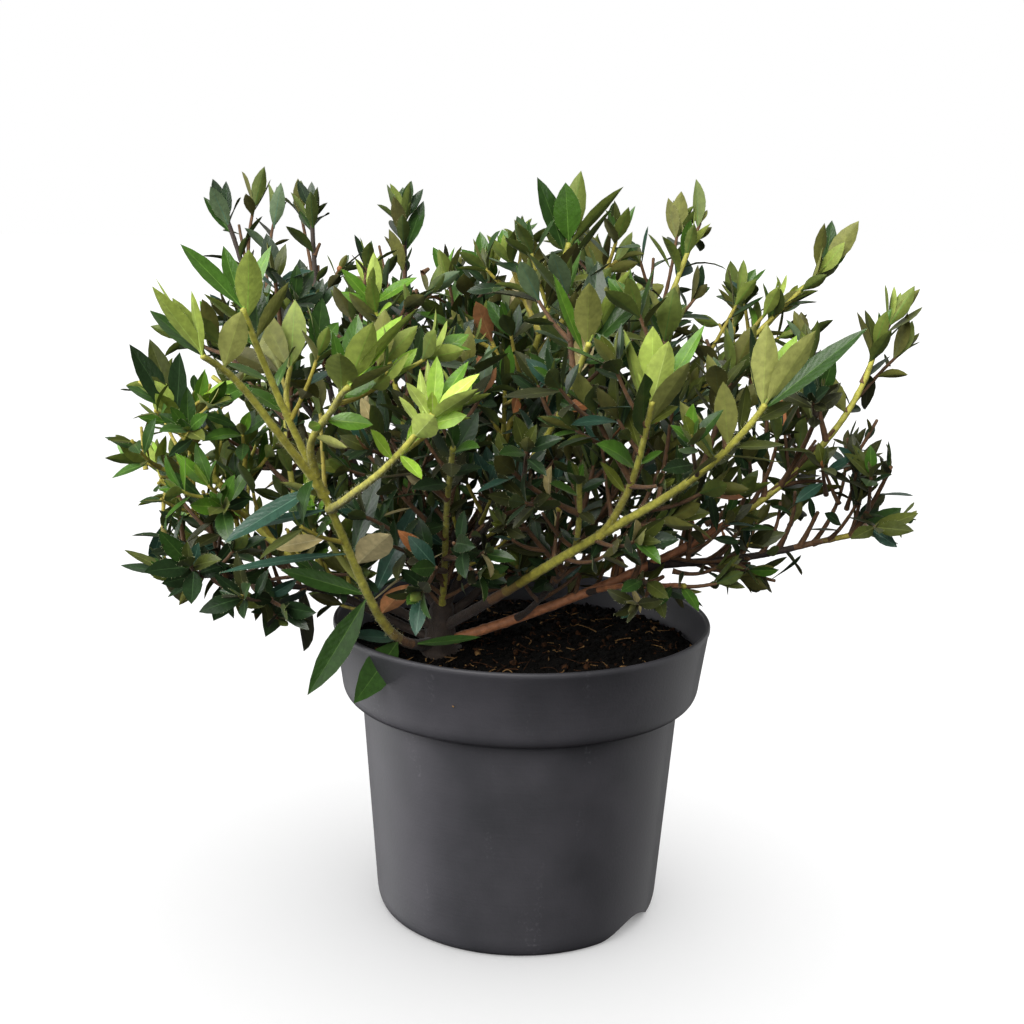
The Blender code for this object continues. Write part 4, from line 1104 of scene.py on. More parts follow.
def mesh_of(name, points, faces, slots, coats, flat=None):
    """A smooth-shaded object from points and groups of faces with equally many corners."""
    mesh = bpy.data.meshes.new(name)
    mesh.vertices.add(len(points))
    mesh.vertices.foreach_set("co", np.asarray(points, dtype=np.float32).ravel())
    corners = np.concatenate([group.ravel() for group in faces]).astype(np.int32)
    totals = np.concatenate([np.full(len(group), group.shape[1]) for group in faces]).astype(np.int32)
    mesh.loops.add(len(corners))
    mesh.loops.foreach_set("vertex_index", corners)
    mesh.polygons.add(len(totals))
    starts = np.concatenate([[0], np.cumsum(totals)[:-1]]).astype(np.int32)
    mesh.polygons.foreach_set("loop_start", starts)
    mesh.polygons.foreach_set("loop_total", totals)
    for coat in coats:
        mesh.materials.append(coat)
    mesh.polygons.foreach_set("material_index", np.concatenate(slots).astype(np.int32))
    mesh.polygons.foreach_set("use_smooth", np.ones(len(totals), dtype=bool))
    if flat is not None:
        layer = mesh.uv_layers.new(name="blade")
        layer.data.foreach_set("uv", flat[corners].astype(np.float32).ravel())
    mesh.update(calc_edges=True)
    mesh.validate()
    return put(name, mesh)


def object_of(name, bm, coats, closed=True):
    """An object from a bmesh, which is freed."""
    if closed:
        bmesh.ops.recalc_face_normals(bm, faces=bm.faces)
    mesh = bpy.data.meshes.new(name)
    bm.to_mesh(mesh)
    bm.free()
    for coat in coats:
        mesh.materials.append(coat)
    return put(name, mesh)


def tube_arrays(line, radii, sides, bumps=None):
    """Points and faces of a tube along a line; bumps scales each point's radius."""
    tangents = np.gradient(line, axis=0)
    tangents /= np.linalg.norm(tangents, axis=1)[:, None]
    side = cross_axes(tangents[0])[0]
    angles = math.tau * np.arange(sides) / sides
    if bumps is None:
        bumps = np.ones((len(line), sides))
    rings = []
    for spot, tangent, radius, bump in zip(line, tangents, radii, bumps):
        side = unit(side - tangent * np.dot(side, tangent))
        other = np.cross(tangent, side)
        reach = radius * bump
        rings.append(
            spot + np.outer(np.cos(angles) * reach, side) + np.outer(np.sin(angles) * reach, other)
        )
    points = np.concatenate(rings + [line[-1:] + tangents[-1] * radii[-1] * 0.6])
    ring = np.arange(sides)
    following = (ring + 1) % sides
    lows = np.arange(len(line) - 1)[:, None] * sides
    quads = np.stack([lows + ring, lows + following, lows + sides + following, lows + sides + ring], 2)
    cap = (len(line) - 1) * sides
    tip = np.full(sides, len(line) * sides)
    return points, quads.reshape(-1, 4), np.stack([cap + ring, cap + following, tip], 1)


class Joined:
    """Gathers the points and faces of many small shapes into one mesh."""

    def __init__(self):
        self.points = []
        self.faces = []
        self.slots = []
        self.count = 0

    def add(self, points, faces, slots):
        self.points.append(points)
        for group, slot in zip(faces, slots):
            self.faces.append(group + self.count)
            self.slots.append(np.broadcast_to(slot, (len(group),)))
        self.count += len(points)

    def add_tube(self, line, radii, sides, slots, bumps=None):
        points, walls, cap = tube_arrays(line, radii, sides, bumps)
        self.add(points, (walls, cap), (slots, np.atleast_1d(slots)[-1]))

    def make(self, name, coats):
        return mesh_of(name, np.concatenate(self.points), self.faces, self.slots, coats)


# Bark

BARK_STEPS = 6
BARK_AGEING = 45.0
YOUNG_BARK = 0.75
YOUNG_TWIGS = 1.55
YOUNG_CHANCE = 0.7
SHORTEST_TWIG = 0.1
FEWEST_STEPS = 6
CROWN_SIDES = 28
LIMB_SIDES = 12
TWIG_SIDES = 8
LIMB_STEP = 1.1
TWIG_STEP = 1.4

# Thickness at the root and at the tip of the twigs that the solids have, sprays and shoots
TWIG_RADII = ((1.25, 0.85), (1.0, 0.7), (0.9, 0.7))

# Limbs whose bark is worn to a light orange-brown
ARCHES = ("right", "over_rim")
ARCH_START = 6.0


def bark_slots(distances, brown, sides):
    """Which bark each ring of faces takes: 0 brown and old, darkened further as painted shade, to 5
    yellow-green and young.
    """
    age = np.clip((distances / MM - brown) / BARK_AGEING, 0.0, 1.0)
    if brown <= 0:
        age = np.maximum(age, YOUNG_BARK)
    return np.repeat(np.round(age * (BARK_STEPS - 1)).astype(int), sides)


# Relief of the bark: leaf scars, the swelling under each, a collar at the foot and chance
SCAR_FIRST = (4.0, 8.0)
SCAR_SPACES = (5.5, 10.0)
SCAR_LENGTH = 1.3
SCAR_NARROW = 2.5
SCAR_RISE = 0.16
NODE_RISE = 0.02
COLLAR_RISE = 0.45
COLLAR_LENGTH = 3.5
BARK_CHANCE = 0.025


def limb_bumps(line, sides, draw):
    """Leaf scars in a spiral, a collar at the foot, and fine unevenness."""
    travelled = np.concatenate([[0.0], np.cumsum(np.linalg.norm(np.diff(line, axis=0), axis=1))])
    bumps = np.ones((len(line), sides))
    angles = math.tau * np.arange(sides) / sides
    place = draw.uniform(*SCAR_FIRST) * MM
    turn = draw.uniform(0.0, math.tau)
    while place < travelled[-1]:
        near = np.exp(-((travelled - place) / (SCAR_LENGTH * MM)) ** 2)
        facing = np.exp(SCAR_NARROW * (np.cos(angles - turn) - 1.0))
        bumps += SCAR_RISE * near[:, None] * facing[None, :]
        bumps += NODE_RISE * near[:, None]
        place += draw.uniform(*SCAR_SPACES) * MM
        turn += GOLDEN_ANGLE
    bumps += COLLAR_RISE * np.exp(-travelled / (COLLAR_LENGTH * MM))[:, None]
    bumps += draw.normal(0.0, BARK_CHANCE, bumps.shape)
    return bumps, travelled


# The root crown: how deep it starts, how its top closes, its buttresses and its flutes
CROWN_SUNK = 4.0
CROWN_STEPS = 26
CROWN_TOP = (0.95, 0.82, 0.55)
BUTTRESSES = 3
BUTTRESS_RISE = 0.10
BUTTRESS_FADE = (1.2, 1.4)
FLUTES = 7
FLUTE_TWIST = 9
FLUTE_RISE = 0.05
CROWN_CHANCE = 0.02


def add_crown(joined, draw):
    """The root crown, with buttresses at its foot and fluted bark."""
    base = trunk_line()
    line = resample(np.vstack([base[:1] - (0.0, 0.0, CROWN_SUNK * MM), base]), 0.0, 1.0, CROWN_STEPS)
    heights = (line[:, 2] - base[0, 2]) / (TRUNK_HEIGHT * MM)
    table = np.linspace(0.0, 1.0, len(TRUNK_RADII)) ** TRUNK_CROWDING
    radii = np.interp(heights, table, TRUNK_RADII) * MM
    radii[-3:] *= CROWN_TOP
    angles = math.tau * np.arange(CROWN_SIDES) / CROWN_SIDES
    low = np.clip(BUTTRESS_FADE[0] - heights * BUTTRESS_FADE[1], 0.0, 1.0)
    bumps = 1.0 + BUTTRESS_RISE * np.outer(low, np.sin(BUTTRESSES * angles))
    flutes = FLUTE_RISE * np.sin(FLUTES * angles + FLUTE_TWIST * heights[:, None])
    bumps += flutes + draw.normal(0.0, CROWN_CHANCE, bumps.shape)
    # The root crown takes the first bark, darkened as painted shade.
    joined.add_tube(line, radii, CROWN_SIDES, 0, bumps)


def make_bark(curves, coats):
    """The root crown and every limb with its stem, with relief."""
    draw = np.random.RandomState(SEED + 31)
    joined = Joined()
    add_crown(joined, draw)
    for bough in BOUGHS:
        whole = curves[bough.name]
        steps = int(line_length(whole) / (LIMB_STEP * MM))
        line = resample(whole, 0.0, 1.0, steps)
        radii = [bough_radius(bough, share) for share in np.linspace(0.0, 1.0, steps + 1)]
        bumps, travelled = limb_bumps(line, LIMB_SIDES, draw)
        slots = bark_slots(travelled[:-1], LOOKS[bough.name].brown, LIMB_SIDES)
        if bough.name in ARCHES:
            worn = np.repeat(travelled[:-1] > ARCH_START * MM, LIMB_SIDES) & (slots < 3)
            slots[worn] = BARK_STEPS
        joined.add_tube(line, radii, LIMB_SIDES, slots, bumps)
    return joined.make("bark_of_crown_and_boughs", coats)


def make_twigs(masses, sprays, shoots, coats):
    """Side twigs and fine shoots in one mesh, each as far as it shows."""
    draw = np.random.RandomState(SEED + 37)
    joined = Joined()
    for bough in BOUGHS:
        young = LOOKS[bough.name].sides > YOUNG_TWIGS or bough.name == "right_back_outer"
        groups = (masses[bough.name][1:], [twig for twig, _ in sprays[bough.name]], shoots[bough.name])
        for twigs, (root_radius, tip_radius) in zip(groups, TWIG_RADII):
            for twig in twigs:
                last = min(open_from(twig), 1.0)
                if last < SHORTEST_TWIG:
                    continue
                steps = max(int(line_length(twig) / (TWIG_STEP * MM)), FEWEST_STEPS)
                line = resample(smooth(twig), 0.0, last, steps)
                radii = np.linspace(root_radius, tip_radius, len(line)) * MM
                bumps = limb_bumps(line, TWIG_SIDES, draw)[0]
                slot = (1 if draw.uniform() < YOUNG_CHANCE else 2) if young else 0
                joined.add_tube(line, radii, TWIG_SIDES, slot, bumps)
    return joined.make("twigs", coats)


# Buds

BUD_CHANCE = 0.16
BUD_LENGTH = (3.4, 5.2)
BUD_RADIUS = (0.95, 1.35)
BUD_SWELL = np.array((0.55, 0.92, 1.0, 0.94, 0.76, 0.50, 0.16))
BUD_SIDES = 8
BUD_SUNK = 0.08
BUD_COATS = (0.55, 0.25, 0.20)


def make_buds(shoots, coats):
    """Small oval buds at the tips of some of the shoots."""
    draw = np.random.RandomState(SEED + 41)
    joined = Joined()
    steps = np.linspace(0.0, 1.0, len(BUD_SWELL))[:, None]
    for bough in BOUGHS:
        for shoot in shoots[bough.name]:
            if draw.uniform() > BUD_CHANCE or open_from(shoot) < 1.0:
                continue
            line = smooth(shoot)
            way = unit(line[-1] - line[-2]) * draw.uniform(*BUD_LENGTH) * MM
            radii = BUD_SWELL * draw.uniform(*BUD_RADIUS) * MM
            slot = int(draw.choice(len(BUD_COATS), p=BUD_COATS))
            joined.add_tube(line[-1] - way * BUD_SUNK + steps * way, radii, BUD_SIDES, slot)
    return joined.make("buds", coats)


# Hairs

HAIRY_LIMBS = (
    "front_left", "front_left_outer", "front_left_inner", "front_bud", "front", "right_front",
    "front_right", "front_right_high", "top",
)
HAIRS_PER_MM = 5
HAIR_LENGTH = (0.8, 2.0)
EDGE_HAIRS_PER_MM = 0.5
EDGE_HAIR_LENGTH = (0.3, 0.8)
HAIR_HALF = 0.045
HAIR_LEAN = (0.35, 0.25)
HAIR_SUNK = 0.9
EDGE_LEAN = (0.4, 1.2)
EDGE_CHANCE = 0.2
EDGE_SUNK = 0.1
BARE_FOOT = 0.25
HAIRS_END = 0.99
HAIRY_FRONT = -50.0
HAIRY_TOP = 270.0


def hair_arrays(roots, tips):
    """Slender closed hairs with three-cornered feet, from rows of roots and tips."""
    ways = tips - roots
    side = np.cross(ways, SIDE_HINT)
    side /= np.linalg.norm(side, axis=1)[:, None]
    other = np.cross(ways, side)
    other /= np.linalg.norm(other, axis=1)[:, None]
    feet = [
        roots + HAIR_HALF * MM * (math.cos(turn) * side + math.sin(turn) * other)
        for turn in (0.0, math.tau / 3, 2 * math.tau / 3)
    ]
    points = np.stack(feet + [tips], axis=1).reshape(-1, 3)
    faces = np.array(((0, 1, 3), (1, 2, 3), (2, 0, 3), (2, 1, 0)))
    faces = faces[None] + (np.arange(len(roots)) * 4)[:, None, None]
    return points, faces.reshape(-1, 3)


def make_hairs(curves, blades, coat):
    """Fine pale hairs on the young front limbs and along the edges of the front leaves."""
    draw = np.random.RandomState(SEED + 53)
    roots = []
    tips = []
    for bough in BOUGHS:
        if bough.name not in HAIRY_LIMBS:
            continue
        curve = curves[bough.name]
        first = BARE_FOOT if bough.parent == "trunk" else 0.0
        count = int(line_length(curve) * (1.0 - first) / MM * HAIRS_PER_MM)
        for share in draw.uniform(first, HAIRS_END, count):
            spot, tangent = along(curve, share)
            out = outward(tangent, draw.uniform(0.0, math.tau))
            lean = tangent * draw.normal(*HAIR_LEAN)
            foot = spot + out * bough_radius(bough, share) * HAIR_SUNK
            roots.append(foot)
            tips.append(foot + unit(out + lean) * draw.uniform(*HAIR_LENGTH) * MM)
    edged = [
        blade for blade in blades
        if blade.root[1] < HAIRY_FRONT * MM or blade.root[2] > HAIRY_TOP * MM
    ]
    for blade, shape in zip(edged, blade_points(edged)[:, 0]):
        for column, way in ((0, -1.0), (-1, 1.0)):
            margin = shape[2:, column]
            for share in draw.uniform(0.0, 1.0, int(blade.length / MM * EDGE_HAIRS_PER_MM)):
                foot = along(margin, share)[0]
                out = blade.side * way + blade.heading * draw.uniform(*EDGE_LEAN)
                way_out = unit(out + draw.normal(0.0, EDGE_CHANCE, 3))
                roots.append(foot - unit(out) * EDGE_SUNK * MM)
                tips.append(foot + way_out * draw.uniform(*EDGE_HAIR_LENGTH) * MM)
    points, faces = hair_arrays(np.array(roots), np.array(tips))
    return mesh_of("fine_hairs", points, [faces], [np.zeros(len(faces), dtype=int)], [coat])


# Materials

class Finish:
    """A material whose nodes are added one after another."""

    def __init__(self, name, values):
        self.made = bpy.data.materials.new(name)
        self.made.use_nodes = True
        self.shader = self.made.node_tree.nodes["Principled BSDF"]
        self.feed(self.shader, values)

    def feed(self, node, values):
        """Give a node's inputs numbers, colours or what other nodes put out."""
        for name, value in values.items():
            if isinstance(value, bpy.types.NodeSocket):
                self.made.node_tree.links.new(value, node.inputs[name])
            else:
                node.inputs[name].default_value = value

    def add(self, kind, values):
        """A new node."""
        node = self.made.node_tree.nodes.new("ShaderNode" + kind)
        self.feed(node, values)
        return node

    def noise(self, scale, detail, stretch=None):
        """Noise in object space; scale counts features per metre."""
        place = self.add("TexCoord", {}).outputs["Object"]
        if stretch is not None:
            place = self.add("Mapping", {"Vector": place, "Scale": stretch}).outputs["Vector"]
        texture = self.add("TexNoise", {"Vector": place, "Scale": scale, "Detail": detail})
        return texture.outputs["Fac"]

    def ramp(self, source, stops):
        """Colours that follow a value."""
        node = self.add("ValToRGB", {"Fac": source})
        elements = node.color_ramp.elements
        for index, (place, colour) in enumerate(stops):
            stop = elements[index] if index < 2 else elements.new(place)
            stop.position = place
            stop.color = (*colour, 1.0)
        return node.outputs["Color"]

    def work_out(self, operation, *values):
        """A sum over numbers or what other nodes put out."""
        node = self.add("Math", dict(enumerate(values)))
        node.operation = operation
        return node.outputs["Value"]

    def colour(self, source, stops):
        """Colour the surface by a value."""
        self.feed(self.shader, {"Base Color": self.ramp(source, stops)})

    def bump(self, height, strength, distance):
        """Give the surface bump from a height."""
        node = self.add("Bump", {"Strength": strength, "Distance": distance, "Height": height})
        self.feed(self.shader, {"Normal": node.outputs["Normal"]})


def srgb(code):
    """A linear colour from a plain hexadecimal one."""
    parts = [int(code[index:index + 2], 16) / 255.0 for index in (0, 2, 4)]
    return tuple(part / 12.92 if part <= 0.04045 else ((part + 0.055) / 1.055) ** 2.4 for part in parts)


def shaded(colour, factor):
    """A colour made lighter or darker."""
    return tuple(min(max(channel * factor, 0.0), 1.0) for channel in colour)


VEINS_ALONG = 60.0
VEINS_ASIDE = 26.0


def leaf_material(name, code, roughness, sheen, vein):
    """A leaf's finish: faint mottling, side veins in relief, a soft gloss and fine hairs."""
    colour = srgb(code)
    finish = Finish(name, {
        "Roughness": roughness, "Specular IOR Level": 0.4, "Sheen Weight": sheen, "Sheen Roughness": 0.5,
    })
    finish.colour(finish.noise(420.0, 4.0), ((0.30, shaded(colour, 0.80)), (0.72, shaded(colour, 1.20))))
    place = finish.add("TexCoord", {}).outputs["UV"]
    parts = finish.add("SeparateXYZ", {"Vector": place}).outputs
    aside = finish.work_out("ABSOLUTE", finish.work_out("SUBTRACT", parts["X"], 0.5))
    chevrons = finish.work_out(
        "SUBTRACT", finish.work_out("MULTIPLY", parts["Y"], VEINS_ALONG),
        finish.work_out("MULTIPLY", aside, VEINS_ASIDE),
    )
    relief = finish.work_out("MULTIPLY", finish.work_out("SINE", chevrons), vein)
    finish.bump(finish.work_out("ADD", relief, finish.noise(900.0, 2.0)), 0.35, 0.0003)
    return finish.made


# Each kind of leaf: upper side, underside and midrib
LEAF_COLOURS = {
    # The bluish teal kind has painted sheen in its colours: the blue of a gloss reflection.
    "teal": ("2a483a", "586c4c", "486a56"),
    "green0": ("1f331a", "465421", "35502a"),
    "green1": ("2c481b", "5a6829", "466528"),
    "green2": ("40641f", "6f7e33", "5e8430"),
    "green3": ("5a8426", "83923f", "82a43e"),
    "green4": ("88ac36", "9aad4a", "abc65a"),
    "green5": ("b2d04c", "b4c760", "cee080"),
    "olive0": ("2e3213", "4b4a1f", "464b22"),
    "olive1": ("424a19", "62632a", "5d662c"),
    "olive2": ("5a6322", "7a7d3e", "7d853d"),
    "olive3": ("747f2d", "90944e", "969e4f"),
    "tan": ("b3a470", "bfb184", "cabf90"),
    "orange": ("a4683e", "b27a50", "bd8c5e"),
}
ROUGH_GLOSSY = 0.32
ROUGH_DULL = 0.44
GLOSSY = ("teal", "green0", "green1", "green2", "green3")


def make_leaves(blades):
    """Leaves of each colour joined into one piece."""
    made = []
    for kind, (top, under, rib) in LEAF_COLOURS.items():
        gloss = ROUGH_GLOSSY if kind in GLOSSY else ROUGH_DULL
        coats = [
            leaf_material("leaf_top_" + kind, top, gloss, 0.04, 0.10),
            leaf_material("leaf_under_" + kind, under, 0.60, 0.05, 0.08),
            leaf_material("leaf_rib_" + kind, rib, 0.5, 0.10, 0.0),
        ]
        chosen = [blade for blade in blades if blade.kind == kind]
        made.append(blade_mesh("leaves_" + kind, chosen, coats))
    return made


def bark_material(name, code, rough, depth):
    """Young or old bark: streaky colour, fine ridges and a dull gloss."""
    colour = srgb(code)
    finish = Finish(name, {"Roughness": rough, "Sheen Weight": 0.15})
    finish.colour(finish.noise(420.0, 5.0), (
        (0.28, shaded(colour, 0.55)), (0.60, colour), (0.82, shaded(colour, 1.35)),
    ))
    finish.bump(finish.noise(1500.0, 4.0), 0.7, depth)
    return finish.made


# Bark from old to young, and worn bark; then the buds' scales
# The first bark, old and brown, is darkened further as painted shade for the deep-shaded root crown.
BARK_CODES = ("2f2219", "644528", "867036", "a99c3b", "b5ae45", "bab64b")
ARCH_CODE = "a86c45"
BUD_CODES = {"olive": "7d7232", "yellow": "b7a63e", "orange": "ac6f3c"}
HAIR_CODE = "d8d9a8"


def pot_material():
    """Dark grey moulded plastic: satin, finely grained, faintly ringed, with pale scuffs."""
    black, white = (0, 0, 0), (1, 1, 1)
    finish = Finish("pot_plastic", {"Specular IOR Level": 0.32})
    cloud = finish.noise(34.0, 5.0)
    base = finish.ramp(cloud, ((0.30, srgb("2d2d31")), (0.70, srgb("39383d"))))
    specks = finish.noise(700.0, 2.0)
    scuffs = finish.ramp(finish.noise(60.0, 6.0, (1.0, 1.0, 0.25)), ((0.60, black), (0.78, white)))
    worn = finish.work_out("MULTIPLY", scuffs, finish.ramp(specks, ((0.55, black), (0.75, white))))
    mix = finish.add("Mix", {})
    mix.data_type = "RGBA"
    finish.feed(mix, {"Factor": worn, "A": base, "B": (*srgb("5c5b60"), 1.0)})
    rough = finish.add("MapRange", {"To Min": 0.46, "To Max": 0.58, "Value": cloud})
    finish.feed(finish.shader, {"Base Color": mix.outputs["Result"], "Roughness": rough.outputs["Result"]})
    rings = finish.noise(30.0, 3.0, (1.0, 1.0, 28.0))
    finish.bump(finish.work_out("ADD", specks, rings), 0.16, 0.0003)
    return finish.made


def peat_material(name, dark, light, scale):
    """Moist peat: near-black with brown flecks and a coarse grain."""
    finish = Finish(name, {"Roughness": 0.92, "Specular IOR Level": 0.12})
    finish.colour(finish.noise(scale, 6.0), (
        (0.35, srgb(dark)), (0.62, srgb(light)), (0.80, shaded(srgb(light), 2.2)),
    ))
    finish.bump(finish.noise(scale * 2.5, 5.0), 0.9, 0.0008)
    return finish.made


# Pot

POT_SIDES = 160
HOLE_SIDES = 32
SHARP_ANGLE = 32


def rounded(start, bend, end, count):
    """Points of a rounded corner in a profile, without its first."""
    pair = [np.array(point, dtype=float) for point in (start, bend, end)]
    return [tuple(row) for row in bezier(*pair, count)[1:]]


def pot_profile():
    """The pot's section with its rounded corners, foot ring, shoulder and rolled lip."""
    foot = [
        (0.0, 0.0), (PAD_RADIUS, 0.0), (PAD_RADIUS + WALL, CHANNEL_HEIGHT),
        (FOOT_INSIDE - 1.0, CHANNEL_HEIGHT), (FOOT_INSIDE, 0.6), (FOOT_INSIDE + 0.6, 0.0),
        (FOOT_RADIUS, 0.0),
    ]
    wall_foot = (FOOT_RADIUS + 3.6, CORNER_HEIGHT)
    neck = (NECK_RADIUS, NECK_HEIGHT)
    under_band = (NECK_RADIUS + 4.4, NECK_HEIGHT + 1.9)
    band_foot = (BAND_FOOT_RADIUS, BAND_FOOT_HEIGHT)
    top = (RIM_RADIUS - 1.1, POT_HEIGHT)
    outside = (
        rounded(foot[-1], (FOOT_RADIUS + 3.0, 0.4), wall_foot, 8)
        + [(NECK_RADIUS - 0.06, NECK_HEIGHT - 0.7), neck]
        + rounded(neck, (NECK_RADIUS + 0.3, NECK_HEIGHT + 1.8), under_band, 4)
        + rounded(under_band, (BAND_FOOT_RADIUS - 0.6, NECK_HEIGHT + 2.4), band_foot, 8)
        + [(RIM_RADIUS - 0.55, POT_HEIGHT - 3.0), (RIM_RADIUS - 0.1, POT_HEIGHT - 2.3)]
        + rounded((RIM_RADIUS, POT_HEIGHT - 1.6), (RIM_RADIUS, POT_HEIGHT), top, 5)
        + rounded(top, (RIM_RADIUS - 2.1, POT_HEIGHT), (RIM_RADIUS - 2.2, POT_HEIGHT - 1.4), 4)
    )
    floor = CHANNEL_HEIGHT + WALL
    inside = [
        (RIM_RADIUS - 2.3, POT_HEIGHT - 4.0), (BAND_FOOT_RADIUS - WALL, BAND_FOOT_HEIGHT),
        (NECK_RADIUS + 4.0, NECK_HEIGHT + 3.6), (NECK_RADIUS - WALL, NECK_HEIGHT + 1.0),
        (FOOT_RADIUS + 1.9, floor), (PAD_RADIUS, floor), (PAD_RADIUS - WALL, WALL), (0.0, WALL),
    ]
    return foot + outside + inside


# Points nearer than this are one point
WELD = 0.01


def turned(name, profile, sides, coat):
    """A closed object turned about Z from a profile that starts and ends on the axis."""
    bm = bmesh.new()
    verts = [bm.verts.new((radius * MM, 0.0, height * MM)) for radius, height in profile]
    edges = [bm.edges.new(pair) for pair in zip(verts, verts[1:])]
    bmesh.ops.spin(
        bm, geom=verts + edges, cent=(0, 0, 0), axis=(0, 0, 1),
        angle=math.tau, steps=sides, use_merge=True,
    )
    bmesh.ops.remove_doubles(bm, verts=bm.verts, dist=WELD * MM)
    return object_of(name, bm, [coat])


def cut(made, bm, location, bearing):
    """Cut a closed shape out of an object and apply the cut."""
    cutter = object_of("cutter", bm, [])
    cutter.location = location
    cutter.rotation_euler = (0, 0, math.radians(bearing))
    step = made.modifiers.new("cut", "BOOLEAN")
    step.operation = "DIFFERENCE"
    step.object = cutter
    depsgraph = bpy.context.evaluated_depsgraph_get()
    result = bpy.data.meshes.new_from_object(made.evaluated_get(depsgraph))
    made.modifiers.clear()
    made.data = result
    bpy.data.objects.remove(cutter, do_unlink=True)


def make_pot(coat):
    """The nursery pot with its notched foot and drained floor."""
    made = turned("pot_shell", pot_profile(), POT_SIDES, coat)
    for bearing in NOTCH_BEARINGS:
        below = -2.0
        outline = [(-NOTCH_WIDTH / 2, below)]
        for share in np.linspace(0.0, 1.0, NOTCH_STEPS + 1):
            bell = (0.5 - 0.5 * math.cos(math.tau * share)) ** NOTCH_FULLNESS
            outline.append(((share - 0.5) * NOTCH_WIDTH, NOTCH_HEIGHT * bell - GAP))
        outline.append((NOTCH_WIDTH / 2, below))
        bm = bmesh.new()
        face = bm.faces.new([bm.verts.new(v3(x, -NOTCH_START, z)) for x, z in outline])
        pushed = bmesh.ops.extrude_face_region(bm, geom=[face])
        moved = [item for item in pushed["geom"] if isinstance(item, bmesh.types.BMVert)]
        bmesh.ops.translate(bm, verts=moved, vec=v3(0, NOTCH_START - RIM_RADIUS, 0))
        cut(made, bm, (0, 0, 0), bearing)
    for index in range(HOLE_COUNT):
        turn = math.radians(NOTCH_BEARINGS[0] + index * 360.0 / HOLE_COUNT)
        bm = bmesh.new()
        bmesh.ops.create_cone(
            bm, cap_ends=True, segments=HOLE_SIDES, radius1=HOLE_RADIUS * MM,
            radius2=HOLE_RADIUS * MM, depth=6 * WALL * MM,
        )
        spot = v3(HOLE_CIRCLE * math.sin(turn), -HOLE_CIRCLE * math.cos(turn), CHANNEL_HEIGHT + WALL / 2)
        cut(made, bm, spot, 0.0)
    made.data.shade_smooth()
    made.data.set_sharp_from_angle(angle=math.radians(SHARP_ANGLE))
    return made


# Peat

SOIL_RINGS = 60
SOIL_SIDES = 120
SOIL_EDGE = 81.2

# Below the surface, the peat's width as a share of its edge, and the height there
SOIL_SIDE = ((0.965, 106.0), (0.84, 96.0), (0.75, 12.0))
CRUMB_COUNT = 3200
CRUMB_SIZE = (0.4, 1.5)
CRUMB_RARITY = 1.4
CRUMB_STRETCH = (0.45, 1.4)
CRUMB_DENTS = (0.75, 1.2)
CRUMB_LIFT = 0.25
CRUMB_SPREAD = 0.97
CRUMB_COLOURS = (0.90, 0.085, 0.015)
HEAP_COUNT = 120
HEAP_PLACE = ((-9.0, 6.0), (-72.0, 2.0))
HEAP_COLOURS = (0.2, 0.4, 0.4)
FIBRE_COUNT = 420
FRONT_FIBRES = 0.35
FRONT_PLACE = ((6.0, 14.0), (-66.0, 5.0))
FIBRE_LENGTH = (3.0, 11.0)
FIBRE_HALF = (0.12, 0.42)
FIBRE_EDGE = 78.0
FIBRE_SPREAD = 0.92
FIBRE_LIFT = 0.7
FIBRE_RISE = (-0.1, 0.25)
FIBRE_BEND = 0.16
FIBRE_TAPER = 0.6
FIBRE_COATS = (0.6, 0.4)
FIBRE_SIDES = 5
FIBRE_STEPS = 6


# The peat's relief: features per metre, then for each layer how much finer it is and its height
RELIEF_SCALE = 60.0
RELIEF = ((1.0, 1.6), (3.1, 1.1), (9.0, 0.7))
RELIEF_BASE = -1.2

# How the surface drops to the pot's wall: by how much, from which radius, over what width
EDGE_DROP = 3.0
EDGE_FROM = 66.0
EDGE_WIDTH = 14.0
EDGE_POWER = 1.5
RELIEF_TOP = 2.0


def soil_height(x, y):
    """The uneven surface of the peat."""
    spot = Vector((x * RELIEF_SCALE, y * RELIEF_SCALE, 0.0))
    height = sum(noise.noise(spot * finer) * rise for finer, rise in RELIEF)
    near_wall = max(0.0, (math.hypot(x, y) / MM - EDGE_FROM) / EDGE_WIDTH)
    return SOIL_TOP + RELIEF_BASE + height - EDGE_DROP * near_wall ** EDGE_POWER


def chance_spot(draw, fullest):
    """A place on the peat, as likely anywhere within a share of its area."""
    radius = SOIL_EDGE * math.sqrt(draw.uniform(0.0, fullest))
    angle = draw.uniform(0.0, math.tau)
    return radius * math.cos(angle) * MM, radius * math.sin(angle) * MM


def chance_near(draw, place):
    """A place on the peat near a middle, by how far it may stray each way."""
    return [draw.normal(*axis) * MM for axis in place]


def make_surface(coat):
    """The peat with its relief, closed below."""
    bm = bmesh.new()
    rows = []
    for ring in range(1, SOIL_RINGS + 1):
        radius = SOIL_EDGE * ring / SOIL_RINGS * MM
        row = []
        for index in range(SOIL_SIDES):
            angle = math.tau * (index + 0.5 * (ring % 2)) / SOIL_SIDES
            x, y = radius * math.cos(angle), radius * math.sin(angle)
            row.append(bm.verts.new((x, y, min(soil_height(x, y), SOIL_TOP + RELIEF_TOP) * MM)))
        rows.append(row)
    middle = bm.verts.new((0, 0, soil_height(0, 0) * MM))
    for index in range(SOIL_SIDES):
        following = (index + 1) % SOIL_SIDES
        bm.faces.new((middle, rows[0][index], rows[0][following]))
        for lower, upper in zip(rows, rows[1:]):
            bm.faces.new((lower[index], upper[index], upper[following], lower[following]))
    upper = rows[-1]
    for share, height in SOIL_SIDE:
        lower = [bm.verts.new((vert.co.x * share, vert.co.y * share, height * MM)) for vert in rows[-1]]
        for index in range(SOIL_SIDES):
            following = (index + 1) % SOIL_SIDES
            bm.faces.new((upper[index], lower[index], lower[following], upper[following]))
        upper = lower
    bm.faces.new(list(reversed(upper)))
    made = object_of("peat_surface", bm, [coat])
    made.data.shade_smooth()
    return made


